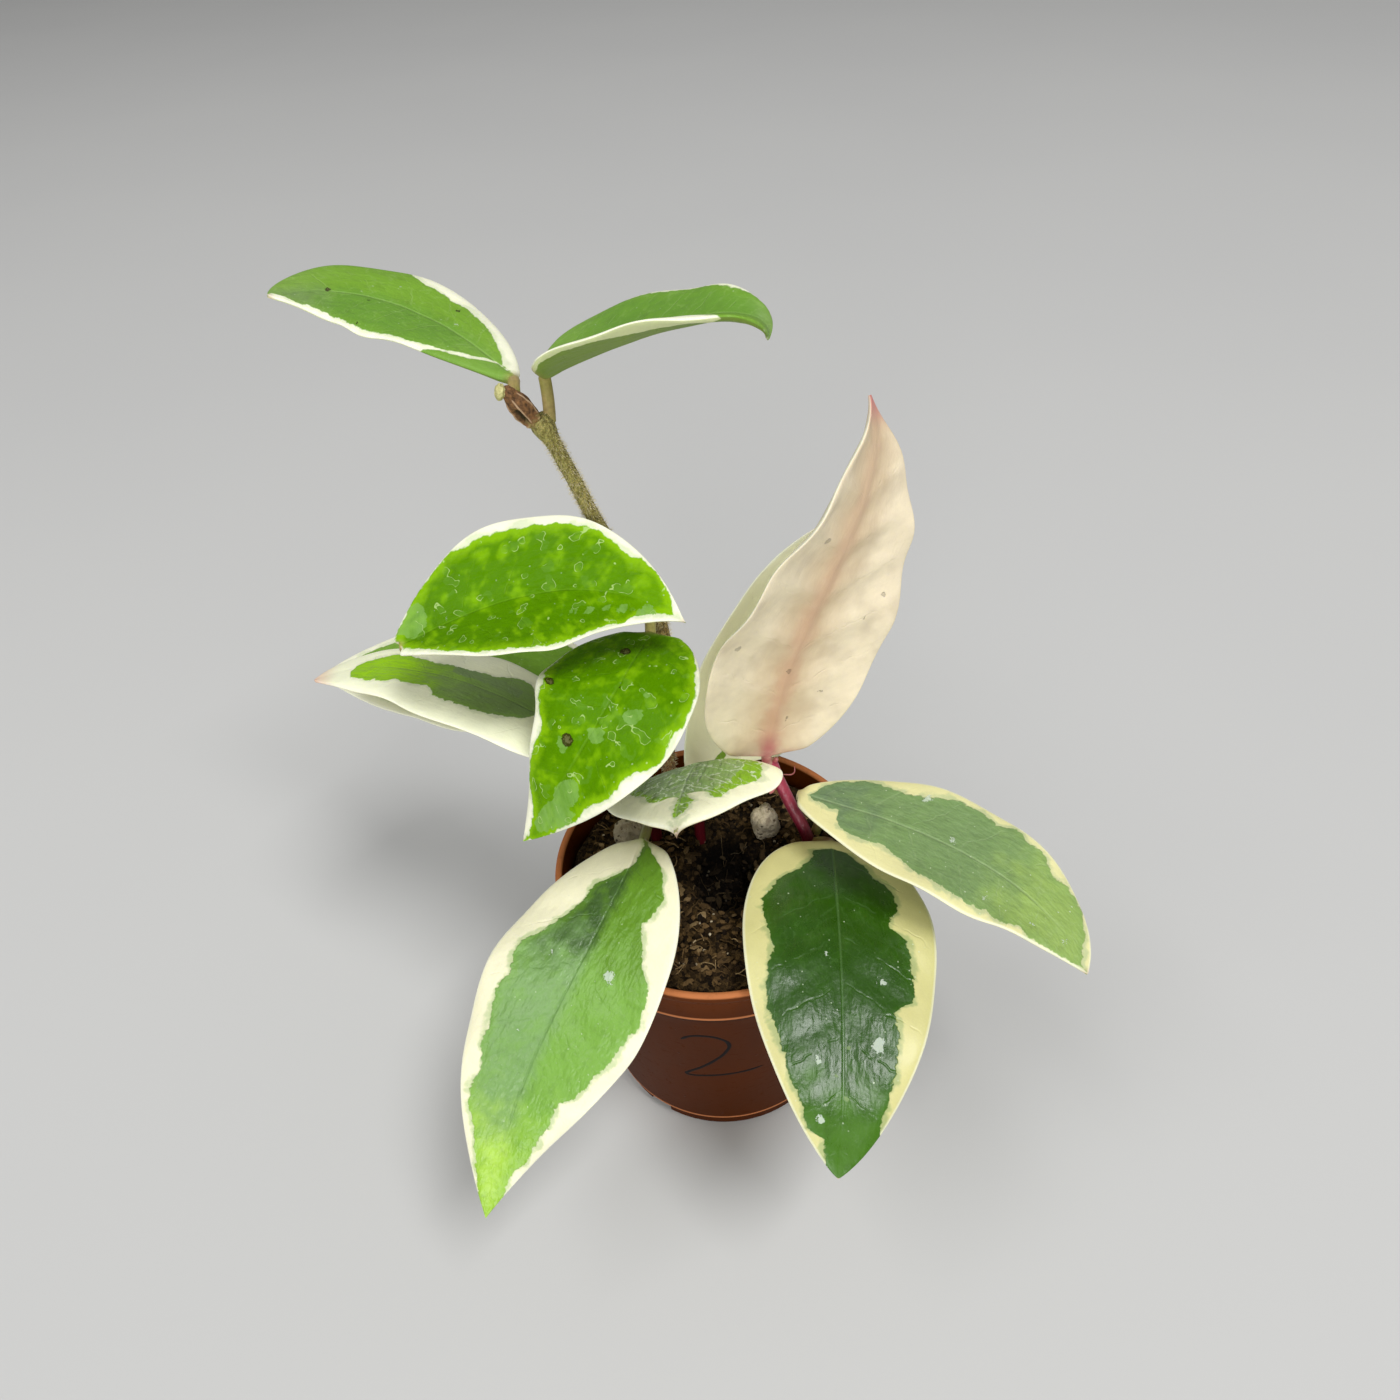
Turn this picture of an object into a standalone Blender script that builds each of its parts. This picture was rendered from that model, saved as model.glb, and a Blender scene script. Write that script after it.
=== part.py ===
"""A small potted hoya with cream-edged leaves, in a 6 cm nursery pot.

Units are metres, +Z is up. The origin is the centre of the pot's underside, and
the plant's front looks along -Y. Sizes below are given in millimetres and
turned into metres by MM.
"""

from dataclasses import dataclass
from math import cos, exp, pi, sin, sqrt, tan

import bmesh
import bpy
from mathutils import Euler, Vector, noise

MM = 0.001

# Clearance between pieces that touch on the real plant
GAP = 0.3

# Pot, all radii measured from its axis
POT_HEIGHT = 57.0
LIP_RADIUS = 30.0
LIP_THICKNESS = 1.3
COLLAR_DROP = 8.6
COLLAR_RADIUS = 29.4
NECK_RADIUS = 28.3
BODY_BOTTOM_RADIUS = 24.8
FOOT_HEIGHT = 3.8
FOOT_RADIUS = 23.9
WALL = 1.1
FLOOR = 1.5
DRAIN_SLOTS = 4
DRAIN_WIDTH = 5.0
DRAIN_HEIGHT = 2.6
DRAIN_DEPTH = 5.0
DRAIN_TURN = 232.0

# Soil, whose surface lies higher at the front than at the back
SOIL_FRONT = 55.2
SOIL_BACK = 52.4
SOIL_HOLLOW = 2.2
SOIL_LUMPS = 0.7
SOIL_RINGS = 12
SOIL_DEPTH_OF_STEMS = 12.0
ROUND_STEPS = 48

# Leaf blades
BLADE_THICKNESS = 1.2
STALK_HALF_WIDTH = 1.0
STALK_ROWS = 4
BLADE_ROWS = 18
BLADE_COLUMNS = 8
TIP_HALF_WIDTH = 0.45
DRIP_FROM = 0.78
DRIP_TO = 0.95
LOBE_REACH = 0.12
FOLD_SOFTNESS = 0.02

# Colours, read off the photograph
TERRACOTTA = (0.34, 0.13, 0.06)
PEAT = (0.045, 0.03, 0.022)
PUMICE = (0.42, 0.39, 0.33)
OLIVE = (0.2, 0.2, 0.08)
CRIMSON = (0.3, 0.03, 0.07)
DARK_RED = (0.12, 0.015, 0.02)
BRIGHT_GREEN = (0.16, 0.36, 0.03)
MID_GREEN = (0.12, 0.28, 0.05)
DARK_GREEN = (0.05, 0.14, 0.035)
CREAM = (0.72, 0.7, 0.48)
PINK_CREAM = (0.68, 0.52, 0.42)


@dataclass(frozen=True)
class Leaf:
    """One leaf: its stalk from start to base, then its blade from base to tip.

    The midrib is a cubic Bezier curve through base and tip with rise and arch as
    its handles. face and face_tip are the ways the upper face looks at the two
    ends. drip is how much of its width the blade loses before its tip. Points and
    widths are in millimetres, the fold is in degrees.
    """

    name: str
    start: tuple
    knee: tuple
    base: tuple
    rise: tuple
    arch: tuple
    tip: tuple
    face: tuple
    face_tip: tuple
    half_width: float
    fullness: float
    taper: float
    fold: float
    cup: float
    colour: tuple
    lobe: float = 1.0
    wave: float = 0.5
    waves: float = 3.0
    turn: float = 0.0
    drip: float = 0.0


LEAVES = (
    Leaf(
        "leaf_top_left",
        start=(-25.1, 23.8, 141.4),
        knee=(-25.3, 25.4, 141.8),
        base=(-25.5, 28.0, 141.0),
        rise=(-40.0, 46.5, 147.5),
        arch=(-53.5, 49.5, 149.5),
        tip=(-63.5, 41.0, 152.0),
        face=(0.3, -0.15, 0.95),
        face_tip=(0.1, -0.2, 1.0),
        half_width=9.6,
        fullness=0.72,
        taper=0.76,
        fold=7.0,
        cup=-0.1,
        colour=MID_GREEN,
        wave=0.3,
    ),
    Leaf(
        "leaf_top_right",
        start=(-20.4, 24.2, 136.8),
        knee=(-20.1, 24.5, 139.8),
        base=(-20.5, 25.8, 142.8),
        rise=(-7.4, 25.2, 148.9),
        arch=(13.6, 16.2, 157.1),
        tip=(12.8, 16.9, 149.5),
        face=(0.0, 0.2, 0.98),
        face_tip=(0.1, -0.12, 1.0),
        half_width=9.2,
        fullness=0.25,
        taper=0.99,
        fold=23.5,
        cup=0.0,
        colour=MID_GREEN,
        wave=0.3,
        lobe=-0.9,
    ),
    Leaf(
        "leaf_middle_left",
        start=(-42.6, 15.1, 101.5),
        knee=(-47.2, 11.2, 103.2),
        base=(-48.3, 8.3, 105.8),
        rise=(-33.3, 14.3, 110.6),
        arch=(-16.0, 17.2, 113.4),
        tip=(-1.8, 6.4, 108.3),
        face=(-0.08, -0.24, 0.99),
        face_tip=(-0.01, -0.5, 0.9),
        half_width=13.2,
        fullness=0.95,
        taper=1.16,
        fold=14.9,
        cup=0.08,
        colour=BRIGHT_GREEN,
        lobe=2.5,
    ),
    Leaf(
        "leaf_middle_front",
        start=(-8.0, 20.2, 100.4),
        knee=(-8.0, 17.4, 101.4),
        base=(-8.0, 14.0, 100.0),
        rise=(-14.5, -3.5, 102.5),
        arch=(-19.0, -9.5, 96.0),
        tip=(-32.0, -9.0, 76.0),
        face=(-0.25, -0.55, 0.8),
        face_tip=(-0.25, -0.6, 0.8),
        half_width=13.5,
        fullness=0.5,
        taper=0.95,
        fold=6.0,
        cup=-0.12,
        colour=BRIGHT_GREEN,
        lobe=2.0,
        wave=0.7,
    ),
    Leaf(
        "leaf_low_left_upper",
        start=(-14.9, 8.6, 77.6),
        knee=(-14.9, 6.4, 79.0),
        base=(-17.0, 4.5, 79.6),
        rise=(-37.0, 19.5, 88.0),
        arch=(-57.0, 26.5, 91.0),
        tip=(-71.0, 22.5, 88.5),
        face=(0.3, 0.1, 0.9),
        face_tip=(0.3, 0.25, 0.9),
        half_width=12.7,
        fullness=0.54,
        taper=0.82,
        fold=5.0,
        cup=-0.12,
        colour=CREAM,
        wave=0.4,
    ),
    Leaf(
        "leaf_low_left_under",
        start=(-14.9, 12.2, 74.6),
        knee=(-15.8, 13.0, 75.4),
        base=(-18.0, 14.0, 75.4),
        rise=(-32.0, 30.0, 83.5),
        arch=(-52.5, 35.0, 79.5),
        tip=(-74.0, 33.5, 80.5),
        face=(0.15, 0.0, 1.0),
        face_tip=(0.2, -0.1, 1.0),
        half_width=16.0,
        fullness=0.56,
        taper=0.8,
        fold=8.0,
        cup=-0.08,
        colour=MID_GREEN,
        wave=0.4,
    ),
    Leaf(
        "leaf_upright_front",
        start=(11.2, 9.3, 72.0),
        knee=(11.0, 8.6, 73.4),
        base=(11.0, 8.5, 75.2),
        rise=(14.6, 9.4, 108.6),
        arch=(29.8, 2.6, 127.6),
        tip=(27.2, 13.6, 141.6),
        face=(-0.1, 0.9, 0.35),
        face_tip=(-0.65, 0.6, 0.5),
        half_width=17.0,
        fullness=0.45,
        taper=0.83,
        fold=6.0,
        cup=-0.22,
        colour=PINK_CREAM,
        lobe=1.5,
        wave=0.7,
        waves=4.0,
    ),
    Leaf(
        "leaf_upright_back",
        start=(13.0, 8.6, 65.2),
        knee=(10.0, 13.2, 62.0),
        base=(7.5, 18.5, 62.5),
        rise=(0.0, 18.5, 72.0),
        arch=(8.5, 29.5, 88.0),
        tip=(30.0, 42.0, 103.0),
        face=(0.4, -0.9, 0.0),
        face_tip=(0.4, -0.75, 0.45),
        half_width=15.0,
        fullness=0.48,
        taper=0.73,
        fold=21.0,
        cup=0.28,
        colour=CREAM,
        lobe=3.0,
    ),
    Leaf(
        "leaf_small_centre",
        start=(-2.2, 7.5, 62.4),
        knee=(-1.9, 5.9, 69.0),
        base=(-1.9, 5.9, 75.4),
        rise=(-2.3, 4.7, 78.0),
        arch=(-6.3, -7.8, 80.1),
        tip=(-5.7, -17.9, 84.3),
        face=(-0.13, 0.83, 0.56),
        face_tip=(-0.11, 0.12, 0.97),
        half_width=16.5,
        fullness=0.94,
        taper=1.68,
        fold=11.7,
        cup=-0.34,
        colour=CREAM,
        wave=0.3,
        lobe=1.0,
        drip=0.47,
    ),
    Leaf(
        "leaf_front_left",
        start=(-11.6, 7.5, 60.4),
        knee=(-11.4, 4.0, 65.0),
        base=(-12.5, -2.0, 65.5),
        rise=(-25.0, -29.0, 60.0),
        arch=(-35.5, -36.0, 52.0),
        tip=(-41.5, -54.5, 36.0),
        face=(-0.45, -0.3, 0.9),
        face_tip=(0.15, -0.6, 0.8),
        half_width=15.9,
        fullness=0.55,
        taper=1.0,
        fold=6.0,
        cup=-0.12,
        colour=MID_GREEN,
        wave=0.8,
    ),
    Leaf(
        "leaf_right",
        start=(20.2, 4.8, 57.7),
        knee=(22.4, 5.6, 66.0),
        base=(16.0, 1.5, 71.0),
        rise=(38.0, -10.0, 72.4),
        arch=(54.0, -20.0, 69.6),
        tip=(58.0, -35.0, 64.0),
        face=(0.4, -0.1, 0.9),
        face_tip=(0.3, -0.3, 0.9),
        half_width=12.0,
        fullness=0.67,
        taper=0.9,
        fold=-4.5,
        cup=0.12,
        colour=DARK_GREEN,
    ),
    Leaf(
        "leaf_front_right",
        start=(19.8, 2.2, 56.8),
        knee=(21.8, 1.0, 58.4),
        base=(22.0, -1.0, 59.5),
        rise=(20.5, -20.5, 63.5),
        arch=(19.0, -43.0, 58.0),
        tip=(15.5, -57.0, 47.0),
        face=(0.1, -0.3, 0.95),
        face_tip=(0.1, -0.3, 0.95),
        half_width=16.6,
        fullness=0.46,
        taper=0.85,
        fold=6.0,
        cup=-0.08,
        colour=DARK_GREEN,
        wave=0.6,
    ),
)


@dataclass(frozen=True)
class Stem:
    """A round stem: it stands straight in the soil at root and follows points."""

    name: str
    root: tuple
    points: tuple
    radius: float
    colour: tuple
    shoots: tuple = ()


TALL_NODE = (-7.9, 22.0, 101.7)
TALL_TOP = (-21.4, 23.6, 135.0)

STEMS = (
    Stem(
        "stem_tall",
        root=(-7.6, 19.1),
        points=(
            (-7.2, 19.4, 70.0),
            (-6.1, 21.0, 94.0),
            TALL_NODE,
            (-14.6, 25.0, 116.9),
            (-18.0, 24.4, 125.8),
            TALL_TOP,
        ),
        radius=1.3,
        colour=OLIVE,
        shoots=(
            (TALL_NODE, (-20.0, 21.5, 102.6), (-32.0, 19.5, 102.6), (-41.8, 15.8, 101.6)),
            (TALL_TOP, (-22.9, 23.3, 136.7), (-24.6, 22.3, 140.2), (-25.8, 21.5, 142.9)),
        ),
    ),
    Stem(
        "stem_left",
        root=(-11.0, 9.4),
        points=((-11.3, 9.5, 61.0), (-13.0, 10.0, 71.0), (-15.2, 10.2, 77.6)),
        radius=1.2,
        colour=DARK_RED,
    ),
    Stem(
        "stem_small",
        root=(-2.3, 9.6),
        points=((-2.3, 9.5, 57.0), (-2.3, 7.9, 62.0)),
        radius=1.1,
        colour=DARK_RED,
    ),
    Stem(
        "stem_red",
        root=(18.3, 3.0),
        points=((18.2, 3.1, 56.8), (15.0, 6.4, 64.0), (11.6, 10.4, 71.2)),
        radius=1.25,
        colour=CRIMSON,
    ),
)


@dataclass(frozen=True)
class Stone:
    """A pumice stone lying half sunk in the soil."""

    name: str
    centre: tuple
    size: tuple
    turn: tuple
    seed: float


STONES = (
    Stone("pumice_left", (-15.8, 9.8, 54.6), (3.4, 2.8, 2.9), (10, 20, 15), 1.7),
    Stone("pumice_right", (10.5, 9.2, 55.6), (2.9, 2.7, 4.4), (8, -12, 30), 5.2),
)


def clear_scene():
    """Remove every object that the file opened with."""
    for obj in list(bpy.data.objects):
        bpy.data.objects.remove(obj, do_unlink=True)


def new_collection(name, hidden=False):
    """Make a collection in the scene, left out of renders if hidden."""
    collection = bpy.data.collections.new(name)
    collection.hide_render = hidden
    bpy.context.scene.collection.children.link(collection)
    return collection


def material(name, colour, roughness):
    """Make a plain material of one colour."""
    made = bpy.data.materials.new(name)
    made.use_nodes = True
    shader = made.node_tree.nodes["Principled BSDF"]
    shader.inputs["Base Color"].default_value = (*colour, 1.0)
    shader.inputs["Roughness"].default_value = roughness
    shader.inputs["Metallic"].default_value = 0.0
    made.diffuse_color = (*colour, 1.0)
    return made


def add_object(name, mesh, collection, finish=None):
    """Put a mesh in the collection as a smooth-shaded object."""
    obj = bpy.data.objects.new(name, mesh)
    collection.objects.link(obj)
    if finish:
        mesh.materials.append(finish)
    mesh.shade_smooth()
    return obj


def mesh_from(bm, name):
    """Turn a bmesh into a mesh and free it."""
    mesh = bpy.data.meshes.new(name)
    bm.to_mesh(mesh)
    bm.free()
    return mesh


def hide_cutter(cutter):
    """Keep a cutter out of the render and draw it as lines."""
    cutter.hide_render = True
    cutter.display_type = "WIRE"


def boolean(target, other, operation):
    """Join or cut one object with another by a Boolean modifier."""
    modifier = target.modifiers.new(operation.title(), "BOOLEAN")
    modifier.operation = operation
    modifier.solver = "EXACT"
    modifier.object = other


def turned(name, profile, collection, finish=None):
    """Spin a profile of (radius, height) points in mm about the Z axis."""
    bm = bmesh.new()
    corners = [bm.verts.new((radius * MM, 0, height * MM)) for radius, height in profile]
    for first, second in zip(corners, corners[1:]):
        bm.edges.new((first, second))
    obj = add_object(name, mesh_from(bm, name), collection, finish)
    screw = obj.modifiers.new("Turn", "SCREW")
    screw.steps = ROUND_STEPS
    screw.render_steps = ROUND_STEPS
    screw.use_merge_vertices = True
    screw.merge_threshold = 0.00001
    return obj


def arc(centre, radius, first, last, steps):
    """Points of a circular arc, angles in degrees from the outward direction."""
    angles = [(first + (last - first) * i / steps) * pi / 180 for i in range(steps + 1)]
    return [(centre[0] + radius * cos(a), centre[1] + radius * sin(a)) for a in angles]


def wall_radius(height):
    """Outer radius of the tapered body at a height."""
    low = FOOT_HEIGHT
    high = POT_HEIGHT - COLLAR_DROP
    along = (height - low) / (high - low)
    return BODY_BOTTOM_RADIUS + (NECK_RADIUS - BODY_BOTTOM_RADIUS) * along


def inner_radius(height):
    """Inner radius of the pot, which is one wall in from the body."""
    return wall_radius(height) - WALL


def pot_profile():
    """Section of the pot from its axis under the floor, round to its axis again."""
    collar_foot = POT_HEIGHT - COLLAR_DROP
    lip = LIP_THICKNESS / 2
    inner_lip = LIP_RADIUS - LIP_THICKNESS
    top = [(0.0, FLOOR)]
    top += [(inner_radius(FLOOR) - 1.0, FLOOR), (inner_radius(FLOOR + 1.0), FLOOR + 1.0)]
    top += [(inner_radius(collar_foot), collar_foot)]
    top += [(inner_lip - 0.3, collar_foot + 1.6), (inner_lip, POT_HEIGHT - lip)]
    top += arc((LIP_RADIUS - lip, POT_HEIGHT - lip), lip, 150, 30, 4)
    side = [(LIP_RADIUS, POT_HEIGHT - 1.6), (LIP_RADIUS - 0.35, POT_HEIGHT - 2.2)]
    side += [(COLLAR_RADIUS, collar_foot + 0.5), (COLLAR_RADIUS - 0.4, collar_foot)]
    side += [(NECK_RADIUS, collar_foot - 0.4)]
    side += [(wall_radius(FOOT_HEIGHT + 0.6), FOOT_HEIGHT + 0.6)]
    side += [(BODY_BOTTOM_RADIUS - 0.4, FOOT_HEIGHT), (FOOT_RADIUS, FOOT_HEIGHT - 0.5)]
    side += [(FOOT_RADIUS, 0.4), (FOOT_RADIUS - 0.4, 0.0), (0.0, 0.0)]
    return top + side


def build_pot(parts, cutters):
    """Turn the pot and cut the drain slots through its foot."""
    finish = material("pot_plastic", TERRACOTTA, 0.42)
    pot = turned("pot", pot_profile(), parts, finish)
    bm = bmesh.new()
    for slot in range(DRAIN_SLOTS):
        angle = (DRAIN_TURN + slot * 360.0 / DRAIN_SLOTS) * pi / 180
        made = bmesh.ops.create_cube(bm, size=1.0)["verts"]
        size = Vector((DRAIN_DEPTH, DRAIN_WIDTH, 2 * DRAIN_HEIGHT)) * MM
        bmesh.ops.scale(bm, vec=size, verts=made)
        bmesh.ops.translate(bm, vec=Vector((FOOT_RADIUS * MM, 0, 0)), verts=made)
        turn = Euler((0, 0, angle)).to_matrix()
        bmesh.ops.rotate(bm, cent=(0, 0, 0), matrix=turn, verts=made)
    cutter = add_object("drain_cutter", mesh_from(bm, "drain_cutter"), cutters)
    hide_cutter(cutter)
    boolean(pot, cutter, "DIFFERENCE")
    return pot


def soil_height(x, y):
    """Height of the soil surface in mm: sloped, hollow in the middle, lumpy."""
    slope = SOIL_BACK + (SOIL_FRONT - SOIL_BACK) * (0.5 - y / (2 * LIP_RADIUS))
    hollow = SOIL_HOLLOW * exp(-((x - 3.0) ** 2 + (y - 1.0) ** 2) / 90.0)
    lumps = SOIL_LUMPS * noise.noise(Vector((x * 0.22, y * 0.22, 3.0)))
    fine = 0.45 * SOIL_LUMPS * noise.noise(Vector((x * 0.6, y * 0.6, 9.0)))
    return slope - hollow + lumps + fine


def build_soil(parts, cutters):
    """Turn the soil plug, shape its surface and bore the holes for the stems."""
    edge = inner_radius(SOIL_BACK) - GAP
    bottom = FLOOR + GAP
    profile = [(0.0, SOIL_BACK)]
    profile += [(edge * (i + 1) / SOIL_RINGS, SOIL_BACK) for i in range(SOIL_RINGS)]
    collar_foot = POT_HEIGHT - COLLAR_DROP
    profile += [(inner_radius(collar_foot) - GAP, collar_foot - 1.0)]
    profile += [(inner_radius(bottom + 2.0) - GAP, bottom + 2.0)]
    profile += [(inner_radius(bottom) - GAP - 1.6, bottom), (0.0, bottom)]
    soil = turned("soil", profile, parts, material("peat", PEAT, 0.95))
    settle(soil)
    for vertex in soil.data.vertices:
        if vertex.co.z > (SOIL_BACK - 0.5) * MM:
            vertex.co.z = soil_height(vertex.co.x / MM, vertex.co.y / MM) * MM
    for stem in STEMS:
        bm = bmesh.new()
        bottom_of_hole = SOIL_FRONT - SOIL_DEPTH_OF_STEMS - 2 * GAP
        depth = POT_HEIGHT - bottom_of_hole + 6.0
        made = bmesh.ops.create_cone(
            bm,
            cap_ends=True,
            segments=20,
            radius1=(stem.radius + GAP) * MM,
            radius2=(stem.radius + GAP) * MM,
            depth=depth * MM,
        )["verts"]
        place = Vector((*stem.root, bottom_of_hole + depth / 2)) * MM
        bmesh.ops.translate(bm, vec=place, verts=made)
        cutter = add_object(stem.name + "_hole", mesh_from(bm, "hole"), cutters)
        hide_cutter(cutter)
        boolean(soil, cutter, "DIFFERENCE")
    for stone in STONES:
        mesh = stone_mesh(stone, GAP)
        cutter = add_object(stone.name + "_bed", mesh, cutters)
        hide_cutter(cutter)
        boolean(soil, cutter, "DIFFERENCE")
    return soil


def settle(obj):
    """Turn an object's modifiers into its mesh."""
    graph = bpy.context.evaluated_depsgraph_get()
    graph.update()
    mesh = bpy.data.meshes.new_from_object(obj.evaluated_get(graph))
    obj.modifiers.clear()
    obj.data = mesh


def stone_mesh(stone, grow):
    """A lumpy ball of the stone's size, grown by a clearance in mm."""
    bm = bmesh.new()
    bmesh.ops.create_icosphere(bm, subdivisions=3, radius=1.0)
    turn = Euler([angle * pi / 180 for angle in stone.turn]).to_matrix()
    size = [side + grow for side in stone.size]
    for vertex in bm.verts:
        way = vertex.co.copy()
        swell = 1.0 + 0.16 * noise.noise(way * 1.3 + Vector((stone.seed, 0, 0)))
        point = Vector([part * side * swell for part, side in zip(way, size)])
        vertex.co = (turn @ point + Vector(stone.centre)) * MM
    return mesh_from(bm, stone.name)


def build_stones(parts):
    """Make the two pumice stones that lie on the soil."""
    finish = material("pumice", PUMICE, 0.9)
    return [add_object(s.name, stone_mesh(s, 0.0), parts, finish) for s in STONES]


def tube(name, points, radius, collection, finish=None, tip=1.0):
    """A round tube through points in mm, made a mesh with welded caps."""
    curve = bpy.data.curves.new(name, "CURVE")
    curve.dimensions = "3D"
    curve.resolution_u = 4
    curve.bevel_depth = radius * MM
    curve.bevel_resolution = 3
    curve.use_fill_caps = True
    spline = curve.splines.new("BEZIER")
    spline.bezier_points.add(len(points) - 1)
    for index, (handle, point) in enumerate(zip(spline.bezier_points, points)):
        handle.co = Vector(point) * MM
        handle.handle_left_type = "AUTO"
        handle.handle_right_type = "AUTO"
        handle.radius = 1.0 + (tip - 1.0) * index / (len(points) - 1)
    guide = bpy.data.objects.new(name + "_guide", curve)
    collection.objects.link(guide)
    graph = bpy.context.evaluated_depsgraph_get()
    graph.update()
    mesh = bpy.data.meshes.new_from_object(guide.evaluated_get(graph))
    bpy.data.objects.remove(guide, do_unlink=True)
    bm = bmesh.new()
    bm.from_mesh(mesh)
    bmesh.ops.remove_doubles(bm, verts=bm.verts, dist=0.00001)
    bmesh.ops.recalc_face_normals(bm, faces=bm.faces)
    bm.to_mesh(mesh)
    bm.free()
    return add_object(name, mesh, collection, finish)


def build_stems(parts, cutters):
    """Make the stems, with the tall one's side shoot and dry stub joined on."""
    for stem in STEMS:
        finish = material(stem.name + "_skin", stem.colour, 0.55)
        low = SOIL_FRONT - SOIL_DEPTH_OF_STEMS
        straight = ((*stem.root, low), (*stem.root, low + SOIL_DEPTH_OF_STEMS - 1.0))
        body = tube(stem.name, straight + stem.points, stem.radius, parts, finish, 0.92)
        for index, shoot in enumerate(stem.shoots):
            name = f"{stem.name}_shoot_{index + 1}"
            side = tube(name, shoot, stem.radius * 0.94, cutters)
            hide_cutter(side)
            boolean(body, side, "UNION")


def bezier(points, t):
    """Point and direction at t on a Bezier curve of three or four points."""
    while len(points) > 2:
        points = [a.lerp(b, t) for a, b in zip(points, points[1:])]
    return points[0].lerp(points[1], t), (points[1] - points[0]).normalized()


def half_width(leaf, t):
    """Half the blade's width at t: full near the base, tapering to a point."""
    peak = leaf.fullness / (leaf.fullness + leaf.taper)
    shape = (t / peak) ** leaf.fullness * ((1 - t) / (1 - peak)) ** leaf.taper
    near_tip = min(1.0, max(0.0, (t - DRIP_FROM) / (DRIP_TO - DRIP_FROM)))
    shape *= 1 - leaf.drip * near_tip**2 * (3 - 2 * near_tip)
    return max(leaf.half_width * shape, TIP_HALF_WIDTH)


def blade_point(leaf, t, across):
    """Point of the blade in mm, t along the midrib and across from -1 to 1."""
    handles = [Vector(p) for p in (leaf.base, leaf.rise, leaf.arch, leaf.tip)]
    middle, forward = bezier(handles, t)
    facing = Vector(leaf.face).normalized().lerp(Vector(leaf.face_tip).normalized(), t)
    side = forward.cross(facing).normalized()
    up = side.cross(forward)
    width = half_width(leaf, t)
    crease = tan(leaf.fold * pi / 180) * (sqrt(across**2 + FOLD_SOFTNESS) - sqrt(FOLD_SOFTNESS))
    ripple = sin(2 * pi * leaf.waves * t + leaf.turn + (0.0 if across > 0 else 1.9))
    lift = width * (crease + leaf.cup * across**2)
    lift += leaf.wave * ripple * abs(across) ** 3 * sin(pi * t)
    lobe = leaf.lobe * across**2 * exp(-t / LOBE_REACH)
    return middle + side * width * across + up * lift - forward * lobe


def stalk_point(leaf, t, across):
    """Point of the stalk in mm, flattened like the blade that it runs into."""
    handles = [Vector(p) for p in (leaf.start, leaf.knee, leaf.base)]
    middle, forward = bezier(handles, t)
    root = blade_point(leaf, 0.02, 1.0) - blade_point(leaf, 0.02, -1.0)
    side = (root - forward * root.dot(forward)).normalized()
    return middle + side * STALK_HALF_WIDTH * across


def build_leaf(leaf, parts):
    """Shape a grid into the stalk and blade, then give it its thickness."""
    rows = STALK_ROWS + BLADE_ROWS
    bm = bmesh.new()
    bmesh.ops.create_grid(bm, x_segments=BLADE_COLUMNS, y_segments=rows, size=1.0)
    for vertex in bm.verts:
        across = vertex.co.x
        row = round((vertex.co.y + 1) / 2 * rows)
        if row < STALK_ROWS:
            point = stalk_point(leaf, row / STALK_ROWS, across)
        else:
            along = (row - STALK_ROWS) / BLADE_ROWS
            point = blade_point(leaf, 0.5 - 0.5 * cos(pi * along), across)
        vertex.co = point * MM
    bmesh.ops.triangulate(bm, faces=bm.faces)
    finish = material(leaf.name + "_skin", leaf.colour, 0.35)
    blade = add_object(leaf.name, mesh_from(bm, leaf.name), parts, finish)
    thickness = blade.modifiers.new("Thickness", "SOLIDIFY")
    thickness.thickness = BLADE_THICKNESS * MM
    thickness.offset = 0.0
    return blade


def main():
    """Build the pot, what fills it and the plant."""
    clear_scene()
    parts = new_collection("potted_hoya")
    cutters = new_collection("cutters", hidden=True)
    build_pot(parts, cutters)
    build_soil(parts, cutters)
    build_stones(parts)
    build_stems(parts, cutters)
    for leaf in LEAVES:
        build_leaf(leaf, parts)


if __name__ == "__main__":
    main()
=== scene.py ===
"""The looks of a small potted hoya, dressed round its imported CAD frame.

Each sub-assembly is a class whose sizes are fields in millimetres, in the frame
of the CAD: the origin is the centre of the pot's underside, +Z is up and the
plant's front looks along -Y. Meshes are made in metres.
"""

from __future__ import annotations

import logging
from collections.abc import Callable, Iterable
from dataclasses import dataclass
from enum import Enum
from math import cos, exp, hypot, pi, radians, sin, sqrt, tan
from random import Random

import bmesh
import bpy
from mathutils import Matrix, Vector, noise


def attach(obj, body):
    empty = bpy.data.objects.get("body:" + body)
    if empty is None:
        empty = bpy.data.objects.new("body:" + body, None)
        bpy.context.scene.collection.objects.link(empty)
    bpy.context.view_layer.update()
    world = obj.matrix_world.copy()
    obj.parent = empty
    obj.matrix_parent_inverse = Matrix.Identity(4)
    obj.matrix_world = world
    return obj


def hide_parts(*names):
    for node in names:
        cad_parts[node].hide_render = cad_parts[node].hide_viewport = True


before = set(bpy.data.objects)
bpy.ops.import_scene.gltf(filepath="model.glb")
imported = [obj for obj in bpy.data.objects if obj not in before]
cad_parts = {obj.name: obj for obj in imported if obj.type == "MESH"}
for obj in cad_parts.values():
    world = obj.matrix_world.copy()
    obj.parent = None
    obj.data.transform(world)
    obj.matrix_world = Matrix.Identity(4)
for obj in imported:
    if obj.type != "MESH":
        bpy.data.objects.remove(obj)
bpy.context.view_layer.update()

LOG = logging.getLogger("hoya")
MM = 0.001
WELD = 1e-6  # corners nearer than this many metres are one
HANDLE = 2.56  # a side of a smooth path over its handle, as in the CAD's stems

Colour = tuple[float, float, float]
Point = tuple[float, float, float]
Border = tuple[tuple[float, float], ...]


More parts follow.
